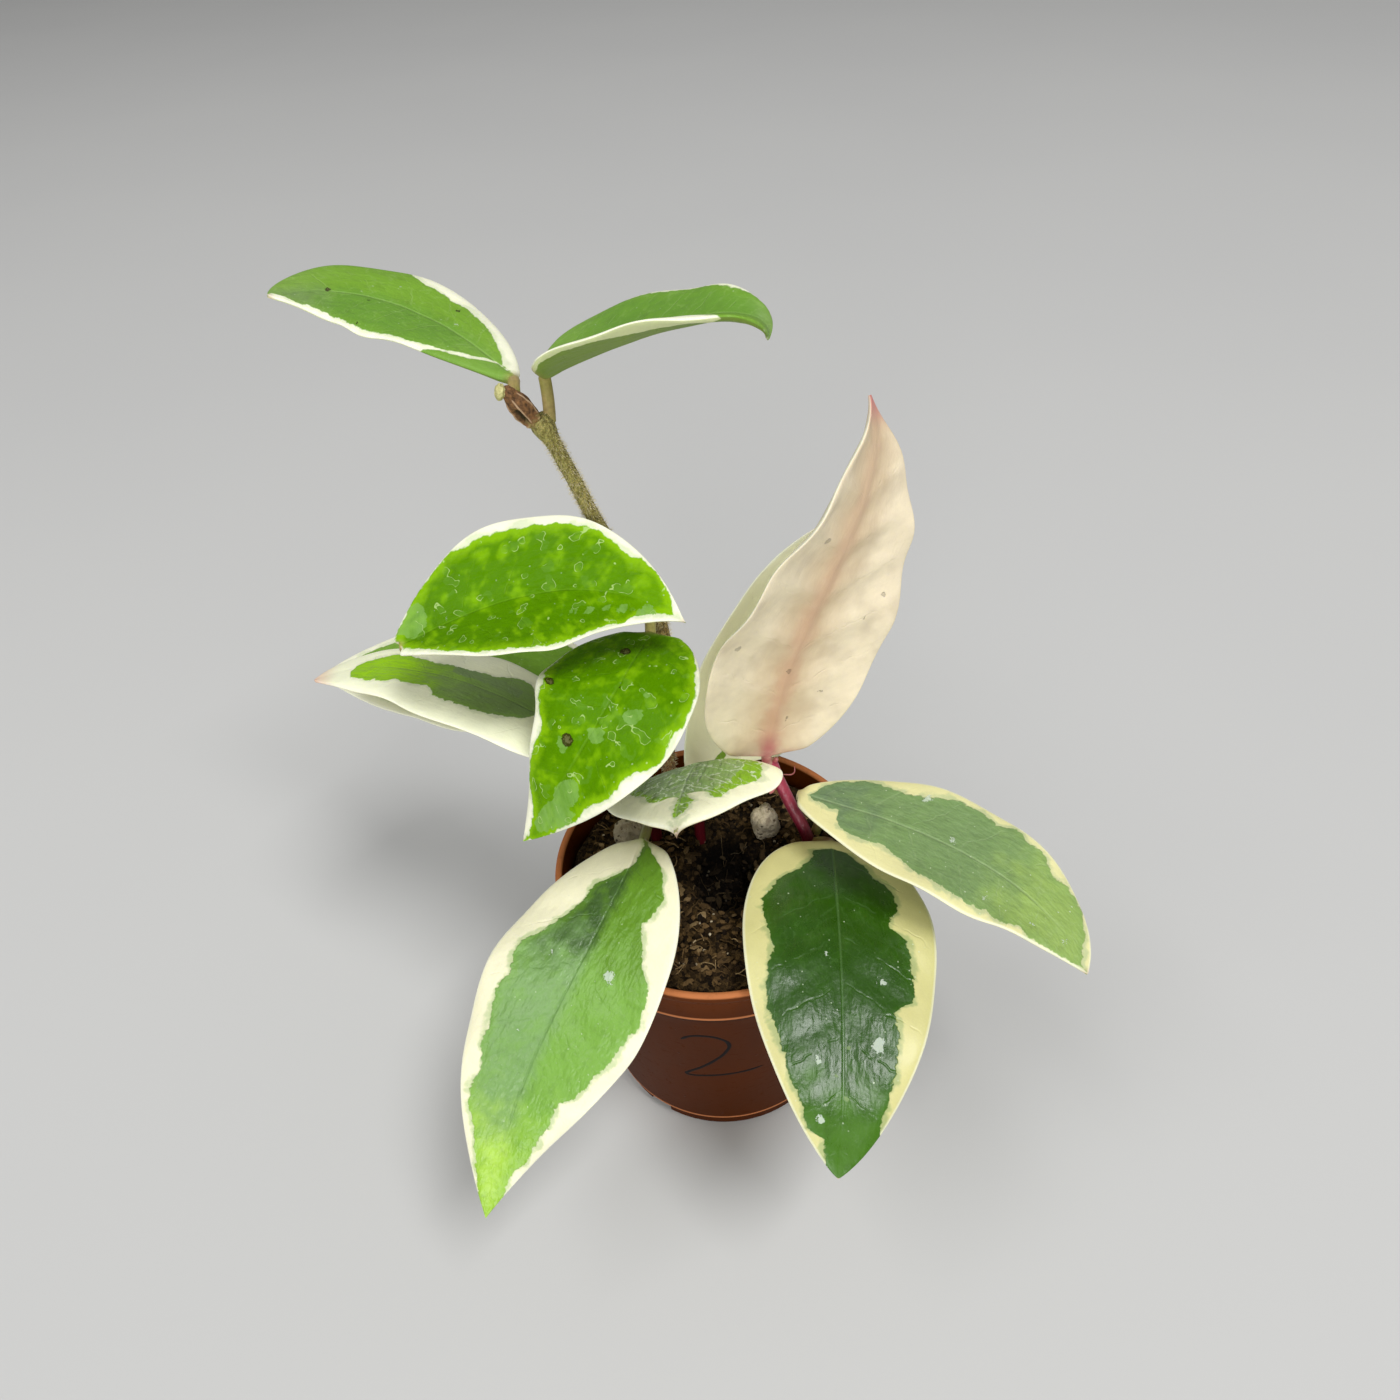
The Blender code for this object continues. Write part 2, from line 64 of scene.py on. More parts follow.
def tone(red: int, green: int, blue: int) -> Colour:
    """A display colour of three numbers up to 255 as linear light."""
    parts = [part / 255 for part in (red, green, blue)]
    linear = [p / 12.92 if p < 0.04 else ((p + 0.055) / 1.055) ** 2.4 for p in parts]
    return (linear[0], linear[1], linear[2])


class Wire:
    """One output socket of a material, with Python's arithmetic on it."""

    def __init__(self, recipe: Recipe, socket: bpy.types.NodeSocket) -> None:
        """Keep the socket and the recipe that it belongs to."""
        self.recipe = recipe
        self.socket = socket

    def _maths(self, operation: str, *values: Wire | float) -> Wire:
        """Add a Math node that works on the values."""
        inputs = dict(enumerate(values))
        return self.recipe.node("ShaderNodeMath", {"operation": operation}, inputs)

    def __add__(self, other: Wire | float) -> Wire:
        """Self plus other."""
        return self._maths("ADD", self, other)

    def __sub__(self, other: Wire | float) -> Wire:
        """Self minus other."""
        return self._maths("SUBTRACT", self, other)

    def __rsub__(self, other: float) -> Wire:
        """Other minus self."""
        return self._maths("SUBTRACT", other, self)

    def __mul__(self, other: Wire | float) -> Wire:
        """Self times other."""
        return self._maths("MULTIPLY", self, other)

    def __truediv__(self, other: Wire | float) -> Wire:
        """Self over other."""
        return self._maths("DIVIDE", self, other)

    __radd__ = __add__
    __rmul__ = __mul__

    def size(self) -> Wire:
        """The value without its sign."""
        return self._maths("ABSOLUTE", self)

    def part(self) -> Wire:
        """What is left of the value past a whole number."""
        return self._maths("FRACT", self)

    def least(self, other: Wire | float) -> Wire:
        """The smaller of self and other."""
        return self._maths("MINIMUM", self, other)

    def most(self, other: Wire | float) -> Wire:
        """The larger of self and other."""
        return self._maths("MAXIMUM", self, other)

    def sister(self, name: str) -> Wire:
        """Another output of the same node."""
        return Wire(self.recipe, self.socket.node.outputs[name])


class Recipe:
    """A material and the calls that add nodes to it."""

    def __init__(self, name: str) -> None:
        """Start a material with its one surface shader.

        Args:
            name: The material's name.
        """
        self.material = bpy.data.materials.new(name)
        self.material.use_nodes = True
        self.tree = self.material.node_tree
        self.shader = self.tree.nodes["Principled BSDF"]

    def feed(self, socket: bpy.types.NodeSocket, value: Wire | float | tuple) -> None:
        """Link a wire to a socket, or set the socket's own value.

        Args:
            socket: The input socket.
            value: A wire, a number, or a colour or vector of three numbers.
        """
        if isinstance(value, Wire):
            self.tree.links.new(value.socket, socket)
        elif socket.type == "RGBA":
            socket.default_value = (*value, 1.0)
        else:
            socket.default_value = value

    def node(
        self,
        kind: str,
        settings: dict | None = None,
        inputs: dict | None = None,
        output: int | str = 0,
    ) -> Wire:
        """Add a node.

        Args:
            kind: The node's type.
            settings: Its own properties, set first.
            inputs: The values or wires of its sockets.
            output: Which output to hand back.

        Returns:
            The wire of that output.
        """
        made = self.tree.nodes.new(kind)
        for name, value in (settings or {}).items():
            setattr(made, name, value)
        for key, value in (inputs or {}).items():
            self.feed(made.inputs[key], value)
        return Wire(self, made.outputs[output])

    def place(self) -> Wire:
        """Object coordinates in millimetres."""
        metres = self.node("ShaderNodeTexCoord", output="Object")
        return self.scaled(metres, 1.0 / MM)

    def scaled(self, vector: Wire, by: float | Point) -> Wire:
        """A vector times a number, or part by part.

        Args:
            vector: The vector's wire.
            by: One number or three.

        Returns:
            The scaled vector's wire.
        """
        way = (by,) * 3 if isinstance(by, float) else by
        settings = {"operation": "MULTIPLY"}
        return self.node("ShaderNodeVectorMath", settings, {0: vector, 1: way})

    def attribute(self, name: str) -> Wire:
        """A vector that the mesh carries."""
        return self.node("ShaderNodeAttribute", {"attribute_name": name}, output="Vector")

    def split(self, vector: Wire) -> tuple[Wire, Wire, Wire]:
        """The three parts of a vector."""
        x = self.node("ShaderNodeSeparateXYZ", inputs={0: vector})
        return x, x.sister("Y"), x.sister("Z")

    def joined(self, x: Wire | float, y: Wire | float, z: Wire | float) -> Wire:
        """A vector of three values."""
        return self.node("ShaderNodeCombineXYZ", inputs={0: x, 1: y, 2: z})

    def noise(self, where: Wire, scale: float, detail: float = 2.0) -> Wire:
        """Soft noise about nought, from -0.5 to 0.5, per millimetre."""
        inputs = {"Vector": where, "Scale": scale, "Detail": detail}
        return self.node("ShaderNodeTexNoise", inputs=inputs) - 0.5

    def cells(self, where: Wire, scale: float, feature: str = "F1") -> Wire:
        """Distance to the nearest of scattered points, in cells."""
        inputs = {"Vector": where, "Scale": scale}
        return self.node("ShaderNodeTexVoronoi", {"feature": feature}, inputs)

    def step(self, value: Wire, low: float, high: float) -> Wire:
        """A smooth step from 0 at low to 1 at high."""
        settings = {"interpolation_type": "SMOOTHSTEP"}
        inputs = {"Value": value, "From Min": low, "From Max": high}
        return self.node("ShaderNodeMapRange", settings, inputs)

    def fall(self, value: Wire, low: float, high: float) -> Wire:
        """A smooth step from 1 at low to 0 at high."""
        return 1 - self.step(value, low, high)

    def mix(self, share: Wire | float, first: Wire | Colour, second: Wire | Colour) -> Wire:
        """A colour from first at share 0 to second at share 1."""
        inputs = {0: share, 6: first, 7: second}
        return self.node("ShaderNodeMix", {"data_type": "RGBA"}, inputs, 2)

    def dimmed(self, colour: Wire, by: Wire) -> Wire:
        """A colour made lighter or darker by a share about 1."""
        settings = {"operation": "SCALE"}
        return self.node("ShaderNodeVectorMath", settings, {0: colour, "Scale": by})

    def relief(self, height: Wire, strength: float = 1.0) -> Wire:
        """A bumped normal for a height in millimetres."""
        inputs = {"Strength": strength, "Distance": MM, "Height": height}
        return self.node("ShaderNodeBump", inputs=inputs)

    def finish(self, **sockets: Wire | float | tuple) -> bpy.types.Material:
        """Set the shader's sockets, named with _ for a space.

        Args:
            sockets: Each socket's wire or constant.

        Returns:
            The finished material.
        """
        for name, value in sockets.items():
            self.feed(self.shader.inputs[name.replace("_", " ")], value)
        return self.material


def settled(bm: bmesh.types.BMesh, name: str) -> bpy.types.Mesh:
    """Turn a bmesh into a mesh and free it."""
    mesh = bpy.data.meshes.new(name)
    bm.to_mesh(mesh)
    bm.free()
    return mesh


def shown(name: str, data: bpy.types.ID) -> bpy.types.Object:
    """Put a mesh, a light or a camera into the scene."""
    obj = bpy.data.objects.new(name, data)
    bpy.context.scene.collection.objects.link(obj)
    return obj


def piece(
    bm: bmesh.types.BMesh,
    name: str,
    finish: bpy.types.Material,
    replaces: Iterable[str] = (),
    crease: float = 50.0,
) -> None:
    """Make a bmesh a shown piece that rides on the part's one body.

    Args:
        bm: The mesh, freed here.
        name: The piece's name.
        finish: Its material.
        replaces: The CAD nodes that it stands for.
        crease: Edges sharper than this many degrees stay sharp.
    """
    mesh = settled(closed(bm), name)
    mesh.materials.append(finish)
    mesh.shade_smooth()
    mesh.set_sharp_from_angle(angle=radians(crease))
    obj = shown(name, mesh)
    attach(obj, "root")
    if replaces:
        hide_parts(*replaces)
    LOG.info("%s: %d faces", name, len(mesh.polygons))


def sleeve(
    bm: bmesh.types.BMesh,
    rows: int,
    columns: int,
    place: Callable[[int, float], tuple[Vector, dict]],
    layers: dict | None = None,
) -> None:
    """Wrap a grid into a closed sleeve with welded seam and ends.

    Args:
        bm: The mesh that the sleeve is added to.
        rows: Steps along it.
        columns: Steps round it.
        place: Gives, for a row and a turn in radians, the point in millimetres
            and the values of the vertex layers by name.
        layers: The vertex layers by name.
    """
    made = bmesh.ops.create_grid(bm, x_segments=columns, y_segments=rows, size=1.0)
    corners = made["verts"]
    ends = []
    for vertex in corners:
        row = round((vertex.co.y + 1) / 2 * rows)
        point, values = place(row, (vertex.co.x + 1) * pi)
        vertex.co = point * MM
        for key, value in values.items():
            vertex[layers[key]] = value
        if row in (0, rows):
            ends.append(vertex)
    bmesh.ops.remove_doubles(bm, verts=corners, dist=WELD)
    kept = [v for v in ends if v.is_valid]
    rims = [e for e in {e for v in kept for e in v.link_edges} if e.is_boundary]
    bmesh.ops.holes_fill(bm, edges=rims, sides=0)


def closed(bm: bmesh.types.BMesh) -> bmesh.types.BMesh:
    """Turn all faces outwards and hand the bmesh back."""
    bmesh.ops.recalc_face_normals(bm, faces=bm.faces)
    return bm


def smooth_path(points: Iterable[Point], steps: int) -> list[Vector]:
    """Points along the smooth curve through some points.

    Each point's handles lie along the mean direction of its two sides, as the
    CAD stems' do.

    Args:
        points: The points in millimetres.
        steps: Steps between one point and the next.

    Returns:
        The points along the curve.
    """
    knots = [Vector(p) for p in points]
    handles = []
    for index, knot in enumerate(knots):
        before = knots[index - 1] if index else knot * 2 - knots[1]
        last = index == len(knots) - 1
        after = knot * 2 - knots[index - 1] if last else knots[index + 1]
        back, ahead = knot - before, after - knot
        way = (back / back.length + ahead / ahead.length).normalized()
        handles.append((knot - way * back.length / HANDLE, knot + way * ahead.length / HANDLE))
    path = [knots[0]]
    for index in range(len(knots) - 1):
        hull = [knots[index], handles[index][1], handles[index + 1][0], knots[index + 1]]
        path += [bezier(hull, step / steps)[0] for step in range(1, steps + 1)]
    return path


def bezier(points: list[Vector], t: float) -> tuple[Vector, Vector]:
    """Point and direction at t on a Bezier curve.

    Args:
        points: Its control points.
        t: The share along it.

    Returns:
        The point and the unit direction.
    """
    while len(points) > 2:
        points = [a.lerp(b, t) for a, b in zip(points, points[1:])]
    return points[0].lerp(points[1], t), (points[1] - points[0]).normalized()


def tube(
    bm: bmesh.types.BMesh,
    path: list[Vector],
    radius: Callable[[float, float], float],
    columns: int,
) -> None:
    """Sweep a closed tube along a path.

    Args:
        bm: The mesh that the tube is added to.
        path: Its centreline in millimetres.
        radius: Its radius in millimetres for a length along it and a turn.
        columns: Steps round it.
    """
    side = Vector((1.0, 0.0, 0.0))
    frames = []
    length = 0.0
    for index, point in enumerate(path):
        ahead = path[min(index + 1, len(path) - 1)] - path[max(index - 1, 0)]
        ahead.normalize()
        side = (side - ahead * side.dot(ahead)).normalized()
        length += (point - path[index - 1]).length if index else 0.0
        frames.append((point, side.copy(), ahead.cross(side), length))

    def place(row: int, turn: float) -> tuple[Vector, dict]:
        """A point of the tube's skin."""
        point, first, second, along = frames[row]
        reach = radius(along, turn)
        return point + (first * cos(turn) + second * sin(turn)) * reach, {}

    sleeve(bm, len(path) - 1, columns, place)


def wobble(x: float, y: float, z: float = 0.0) -> float:
    """Smooth noise from -1 to 1 that gives the same value each run."""
    return noise.noise(Vector((x, y, z)))


def eased(value: float, low: float, high: float) -> float:
    """A smooth step from 0 at low to 1 at high, for numbers."""
    share = min(1.0, max(0.0, (value - low) / (high - low)))
    return share * share * (3 - 2 * share)


def bell(value: float, middle: float, width: float, power: int = 2) -> float:
    """A bump of height 1 about the middle, e times lower a width away from it."""
    return exp(-(((value - middle) / width) ** power))


def stretched(way: Iterable[float], size: Point) -> Vector:
    """A vector with each part times its own size."""
    return Vector([part * side for part, side in zip(way, size)])


@dataclass(frozen=True)
class Studio:
    """The pale floor, the soft lights and the camera at the photograph's angle."""

    floor_reach: float = 6.0
    film: float = 36.0
    lens_pixels: float = 1052.0
    photo_pixels: float = 1400.0
    aim: Point = (0.0, 0.0, 0.07)
    eye: Point = (-0.4, -127.2, 212.1)
    pitch: float = 42.1
    roll: float = -4.17

    def build(self) -> None:
        """Set up the floor, the lights, the sky and the camera."""
        self._floor()
        self._sky()
        self._softbox("overhead", (0.7, -0.7, 2.1), 0.7, 29.0)
        self._softbox("left_panel", (-0.95, -0.4, 2.0), 1.1, 13.0)
        self._softbox("front_fill", (-0.3, -2.6, 0.85), 1.5, 36.0)
        self._camera()
        bpy.context.scene.view_settings.view_transform = "Standard"

    def _floor(self) -> None:
        """Lay a plain pale floor that isn't part of the object."""
        bm = bmesh.new()
        bmesh.ops.create_grid(bm, x_segments=1, y_segments=1, size=self.floor_reach)
        mesh = settled(bm, "floor")
        recipe = Recipe("pale_floor")
        drift = recipe.noise(recipe.place(), 0.004)
        colour = recipe.mix(drift + 0.5, tone(198, 198, 197), tone(204, 204, 202))
        mesh.materials.append(recipe.finish(Base_Color=colour, Roughness=0.7))
        ground = shown("floor", mesh)

    def _sky(self) -> None:
        """Fill the world with an even pale light."""
        world = bpy.data.worlds.new("studio")
        world.use_nodes = True
        back = world.node_tree.nodes["Background"]
        back.inputs["Color"].default_value = (1.0, 1.0, 1.0, 1.0)
        back.inputs["Strength"].default_value = 0.24
        bpy.context.scene.world = world

    def _softbox(self, name: str, place: Point, side: float, power: float) -> None:
        """Hang a square soft light that faces the plant.

        Args:
            name: The light's name.
            place: Where it hangs, in metres.
            side: Its side in metres.
            power: Its power in watts.
        """
        light = bpy.data.lights.new(name, "AREA")
        light.shape = "SQUARE"
        light.size = side
        light.energy = power
        lamp = shown(name, light)
        lamp.location = place
        way = Vector(self.aim) - Vector(place)
        lamp.rotation_euler = way.to_track_quat("-Z", "Y").to_euler()

    def _camera(self) -> None:
        """Stand the camera where the photograph was taken from."""
        lean, tilt = radians(self.pitch), radians(self.roll)
        ahead = Vector((0, cos(lean), -sin(lean)))
        level = Vector((1, 0, 0))
        upright = level.cross(ahead)
        right = level * cos(tilt) + upright * sin(tilt)
        up = upright * cos(tilt) - level * sin(tilt)
        lens = bpy.data.cameras.new("photo_view")
        lens.sensor_width = self.film
        lens.lens = self.lens_pixels / self.photo_pixels * self.film
        lens.clip_start = 0.01
        lens.clip_end = 50.0
        matrix = Matrix((right, up, -ahead)).transposed().to_4x4()
        matrix.translation = Vector(self.eye) * MM
        camera = shown("photo_view", lens)
        camera.matrix_world = matrix
        bpy.context.scene.camera = camera


@dataclass(frozen=True)
class Pot:
    """The moulded nursery pot, with the plain numeral written on its front."""

    height: float = 57.0
    lip_radius: float = 30.0
    lip: float = 0.65
    collar_drop: float = 8.6
    collar_radius: float = 29.4
    neck_radius: float = 28.3
    body_bottom_radius: float = 24.8
    foot_height: float = 3.8
    foot_radius: float = 23.9
    wall: float = 1.1
    floor: float = 1.5
    steps: int = 180
    slots: int = 4
    slot_size: Point = (5.0, 5.0, 5.2)
    slot_turn: float = 232.0
    ink_half_width: float = 0.42

    def build(self) -> None:
        """Mould the pot and write on it."""
        self._shell()
        self._numeral()

    def wall_radius(self, height: float) -> float:
        """Outer radius of the tapered body at a height."""
        top = self.height - self.collar_drop
        along = (height - self.foot_height) / (top - self.foot_height)
        return self.body_bottom_radius + (self.neck_radius - self.body_bottom_radius) * along

    def _arc(self, centre: tuple, radius: float, first: float, last: float, n: int) -> list:
        """Points of an arc, angles in degrees from the outward direction."""
        turns = [radians(first + (last - first) * i / n) for i in range(n + 1)]
        return [(centre[0] + radius * cos(a), centre[1] + radius * sin(a)) for a in turns]

    def _profile(self) -> list[tuple[float, float]]:
        """Section of the pot from its axis above the floor round to its axis below."""
        low = self.height - self.collar_drop
        crown = (self.lip_radius - self.lip, self.height - self.lip)
        inner_lip = self.lip_radius - 2 * self.lip
        inside = [(0.0, self.floor), (self.wall_radius(self.floor) - self.wall - 1.2, self.floor)]
        inside += self._arc((self.wall_radius(3) - self.wall - 1.3, 2.8), 1.3, -80, -5, 5)
        inside += [(self.wall_radius(z) - self.wall, z) for z in (10, 22, 34, 44, low)]
        inside += [(inner_lip - 0.3, low + 1.6), (inner_lip, self.height - self.lip)]
        top = self._arc(crown, self.lip, 168, -12, 12)
        side = [(29.98, 55.5), (29.92, 55.15), (29.78, 54.9), (29.66, 54.6)]
        side += [(29.62, 54.0), (29.55, 52.0), (self.collar_radius, 49.2)]
        side += self._arc((29.0, 48.85), 0.4, -5, -80, 5)
        side += [(28.6, 48.3), (28.42, 48.15), (28.28, 47.8)]
        side += [(self.wall_radius(z), z) for z in (44, 34, 22, 10, 4.9)]
        side += self._arc((24.45, 4.3), 0.42, 0, -80, 4)
        side += [(24.1, 3.75), (23.95, 3.5), (self.foot_radius, 3.1), (self.foot_radius, 0.5)]
        side += self._arc((23.4, 0.5), 0.5, -15, -90, 4)
        return inside + top + side + [(22.2, 0.0), (21.8, 0.35), (0.0, 0.35)]

    def _shell(self) -> None:
        """Spin the pot, cut its drain slots and finish its plastic."""
        bm = bmesh.new()
        corners = [bm.verts.new((r * MM, 0, z * MM)) for r, z in self._profile()]
        edges = [bm.edges.new(pair) for pair in zip(corners, corners[1:])]
        bmesh.ops.spin(
            bm,
            geom=corners + edges,
            cent=(0, 0, 0),
            axis=(0, 0, 1),
            angle=2 * pi,
            steps=self.steps,
            use_merge=True,
        )
        bmesh.ops.remove_doubles(bm, verts=bm.verts, dist=WELD)
        holder = shown("pot_shell", settled(closed(bm), "pot_shell"))
        cutter = shown("slot_cutter", settled(self._knife(), "slot_cutter"))
        cut = holder.modifiers.new("Slots", "BOOLEAN")
        cut.operation = "DIFFERENCE"
        cut.solver = "EXACT"
        cut.object = cutter
        graph = bpy.context.evaluated_depsgraph_get()
        bm = bmesh.new()
        bm.from_mesh(bpy.data.meshes.new_from_object(holder.evaluated_get(graph)))
        for obj in (holder, cutter):
            bpy.data.objects.remove(obj, do_unlink=True)
        piece(bm, "pot_moulding", self._plastic(), ["pot"], 34.0)

    def _knife(self) -> bmesh.types.BMesh:
        """One block for each drain slot, set round the foot."""
        knife = bmesh.new()
        for index in range(self.slots):
            made = bmesh.ops.create_cube(knife, size=1.0)["verts"]
            bmesh.ops.scale(knife, vec=Vector(self.slot_size) * MM, verts=made)
            bmesh.ops.translate(knife, vec=(self.foot_radius * MM, 0, 0), verts=made)
            turn = Matrix.Rotation(radians(self.slot_turn + index * 90.0), 3, "Z")
            bmesh.ops.rotate(knife, cent=(0, 0, 0), matrix=turn, verts=made)
        return knife

    def _plastic(self) -> bpy.types.Material:
        """Satin terracotta plastic: flow marks, fine grain, peat dust and scuffs, with a painted
        lighter top, a painted shadow under the collar and painted highlights on the lip, the
        collar's edge and the foot step.
        """
        recipe = Recipe("terracotta_plastic")
        here = recipe.place()
        z = recipe.split(here)[2]
        flow = recipe.noise(recipe.scaled(here, (1.0, 1.0, 0.16)), 0.35, 3.0)
        cloud = recipe.noise(here, 0.07)
        colour = recipe.mix(cloud + 0.5 + flow * 0.5, tone(62, 25, 0), tone(76, 32, 0))
        # Painted light: the collar and upper body are painted lighter, where the overhead light
        # falls on the pot; the same height mask places dust at 635.
        high = recipe.step(z, 47.0, 56.0)
        colour = recipe.mix(high * 0.5, colour, tone(100, 46, 2))
        # Painted shadow: a dark band on the body just under the collar, where the collar's ledge
        # shades it.
        painted_collar_shadow = recipe.step(z, 45.6, 46.9) * recipe.fall(z, 48.7, 49.0)
        colour = recipe.mix(painted_collar_shadow * 0.75, colour, tone(40, 18, 4))
        # Painted highlights: light lines along the collar's lower edge, the lip and the foot
        # step.
        painted_edge_highlight = recipe.step(z, 48.6, 48.9) * recipe.fall(z, 49.1, 49.6)
        painted_edge_highlight = painted_edge_highlight.most(recipe.step(z, 56.1, 56.7))
        painted_edge_highlight = painted_edge_highlight.most(recipe.step(z, 3.5, 3.9) * recipe.fall(z, 4.5, 4.9))
        colour = recipe.mix(painted_edge_highlight * 0.65, colour, tone(212, 134, 84))
        dust = recipe.step(recipe.noise(here, 0.9, 4.0) + high * 0.06, 0.12, 0.24)
        colour = recipe.mix(dust * 0.15, colour, tone(80, 52, 32))
        specks = recipe.cells(here, 0.55)
        chosen = recipe.step(recipe.split(specks.sister("Color"))[0], 0.9, 0.93)
        grit = recipe.fall(specks, 0.08, 0.16) * chosen
        colour = recipe.mix(grit * 0.7, colour, tone(52, 34, 26))
        grain = recipe.noise(here, 5.0)
        level_streaks = recipe.noise(recipe.scaled(here, (0.5, 0.5, 3.0)), 0.6, 4.0)
        scuff = recipe.step(level_streaks, 0.13, 0.2)
        rough = 0.46 + cloud * 0.12 + dust * 0.18 + scuff * 0.12
        height = grain * 0.012 + flow * 0.05 + grit * 0.06
        return recipe.finish(
            Base_Color=colour,
            Roughness=rough,
            Normal=recipe.relief(height),
            IOR=1.44,
            Specular_IOR_Level=0.06,
        )

    def _numeral(self) -> None:
        """Write a plain 2 in dark pen on the front of the body."""
        stroke = ((-8.4, 38.2), (-6.8, 40.0), (-4.0, 40.7), (-1.4, 39.8), (0.3, 37.3))
        stroke += ((-0.4, 34.2), (-2.6, 30.8), (-5.2, 27.6), (-7.9, 24.5), (-8.2, 23.8))
        stroke += ((-7.2, 23.6), (-4.6, 24.1), (-1.2, 24.7), (2.8, 25.3), (6.6, 25.9))
        path = []
        for flat in smooth_path([(x, 0.0, z) for x, z in stroke], 6):
            reach = self.wall_radius(flat.z) + 0.004
            path.append(Vector((flat.x, -sqrt(reach**2 - flat.x**2), flat.z)))

        def place(row: int, turn: float) -> tuple[Vector, dict]:
            """A point of the thin line of ink."""
            point = path[row]
            ahead = path[min(row + 1, len(path) - 1)] - path[max(row - 1, 0)]
            outward = Vector((point.x, point.y, 0)).normalized()
            side = ahead.normalized().cross(outward).normalized()
            press = 0.85 + 0.25 * wobble(row * 0.23, 4.0)
            end = sqrt(max(0.02, 1 - (2 * row / (len(path) - 1) - 1) ** 30))
            width = self.ink_half_width * press * end
            return point + side * cos(turn) * width + outward * sin(turn) * 0.03, {}

        bm = bmesh.new()
        sleeve(bm, len(path) - 1, 8, place)
        recipe = Recipe("dark_pen")
        patchy = recipe.noise(recipe.place(), 1.6, 3.0)
        faded = recipe.step(patchy, 0.0, 0.3) * 0.3
        colour = recipe.mix(faded, tone(14, 9, 10), tone(50, 26, 16))
        rough = patchy * 0.2 + 0.6
        ink = recipe.finish(Base_Color=colour, Roughness=rough, Specular_IOR_Level=0.1)
        piece(bm, "numeral_in_pen", ink)


@dataclass(frozen=True)
class Peat:
    """The potting mix: its lumpy surface, crumbs, bark, fibres and pale grit."""

    pot: Pot
    front: float = 55.2
    back: float = 52.4
    hollow: float = 2.2
    lumps: float = 0.7
    gap: float = 0.3
    cells: int = 132
    crumbs: int = 1100
    chips: int = 190
    fibres: int = 300
    grains: int = 120
    seed: int = 11

    def height(self, x: float, y: float) -> float:
        """Height of the mix's surface as in the CAD."""
        slope = self.back + (self.front - self.back) * (0.5 - y / (2 * self.pot.lip_radius))
        dip = self.hollow * exp(-((x - 3.0) ** 2 + (y - 1.0) ** 2) / 90.0)
        fine = 0.45 * self.lumps * wobble(x * 0.6, y * 0.6, 9.0)
        return slope - dip + self.lumps * wobble(x * 0.22, y * 0.22, 3.0) + fine

    def build(self) -> None:
        """Build the plug and scatter what lies on it."""
        self._plug()
        self._loose()

    def _edge(self) -> float:
        """Radius of the mix where it meets the pot."""
        return self.pot.wall_radius(self.back) - self.pot.wall - self.gap

    def _skin(self, x: float, y: float) -> float:
        """The surface with its small clods, in millimetres."""
        clods = noise.voronoi(Vector((x, y, 0.0)) * 0.55)[0]
        clod = 1.3 * (clods[1] - clods[0])
        grit = 0.22 * wobble(x * 1.9, y * 1.9, 5.0) + 0.12 * wobble(x * 4.1, y * 4.1, 2.0)
        ragged = 1.4 * wobble(x * 0.4, y * 0.4, 7.0)
        pit = 7.5 * (1 - eased(hypot((x - 2.0) * 1.15, (y - 0.5) * 0.75) + ragged, 4.2, 8.6))
        return self.height(x, y) + min(1.1, clod) - 0.6 + grit - pit

    def _plug(self) -> None:
        """Map a grid on to the round surface and draw its edge down the wall."""
        edge = self._edge()
        bm = bmesh.new()
        bmesh.ops.create_grid(bm, x_segments=self.cells, y_segments=self.cells, size=1.0)
        for vertex in bm.verts:
            x, y = vertex.co.x, vertex.co.y
            flat_x, flat_y = x * sqrt(1 - y * y / 2) * edge, y * sqrt(1 - x * x / 2) * edge
            vertex.co = Vector((flat_x, flat_y, self._skin(flat_x, flat_y))) * MM
        low = self.pot.height - self.pot.collar_drop
        for height in (low - 1.0, 3.8, 1.8):
            reach = self.pot.wall_radius(height) - self.pot.wall - self.gap
            reach -= 1.6 if height < 3 else 0.0
            rim = [e for e in bm.edges if e.is_boundary]
            made = bmesh.ops.extrude_edge_only(bm, edges=rim)["geom"]
            for vertex in (v for v in made if isinstance(v, bmesh.types.BMVert)):
                way = Vector((vertex.co.x, vertex.co.y, 0)).normalized() * reach
                vertex.co = Vector((way.x, way.y, height)) * MM
        bmesh.ops.holes_fill(bm, edges=[e for e in bm.edges if e.is_boundary], sides=0)
        piece(bm, "peat_plug", self._earth(), ["soil"], 80.0)

    def _earth(self) -> bpy.types.Material:
        """Dark fibrous peat, lighter and browner on its dry crumbs, with painted shade in and
        round the hollow.
        """
        recipe = Recipe("dark_peat")
        here = recipe.place()
        crumbs = recipe.cells(here, 1.3)
        shade = recipe.split(crumbs.sister("Color"))[0]
        colour = recipe.mix(shade * shade, tone(28, 20, 10), tone(100, 78, 46))
        strands = recipe.noise(recipe.scaled(here, (1.0, 3.0, 1.0)), 1.1, 4.0)
        colour = recipe.mix(recipe.step(strands, 0.1, 0.25) * 0.55, colour, tone(120, 92, 56))
        damp = recipe.step(recipe.noise(here, 0.2), -0.15, 0.2)
        colour = recipe.mix(damp * 0.5, colour, tone(26, 18, 14))
        # Painted shade: the hollow and the ground round the middle are painted near black.
        deep = self._shadow(recipe, here)
        colour = recipe.mix(deep * 0.93, colour, tone(5, 3, 2))
        fine = recipe.noise(here, 4.0, 4.0)
        height = crumbs * -0.35 + fine * 0.3 + strands * 0.25
        return recipe.finish(
            Base_Color=recipe.dimmed(colour, fine + 1.0),
            Roughness=0.93,
            Specular_IOR_Level=0.1,
            Normal=recipe.relief(height),
        )

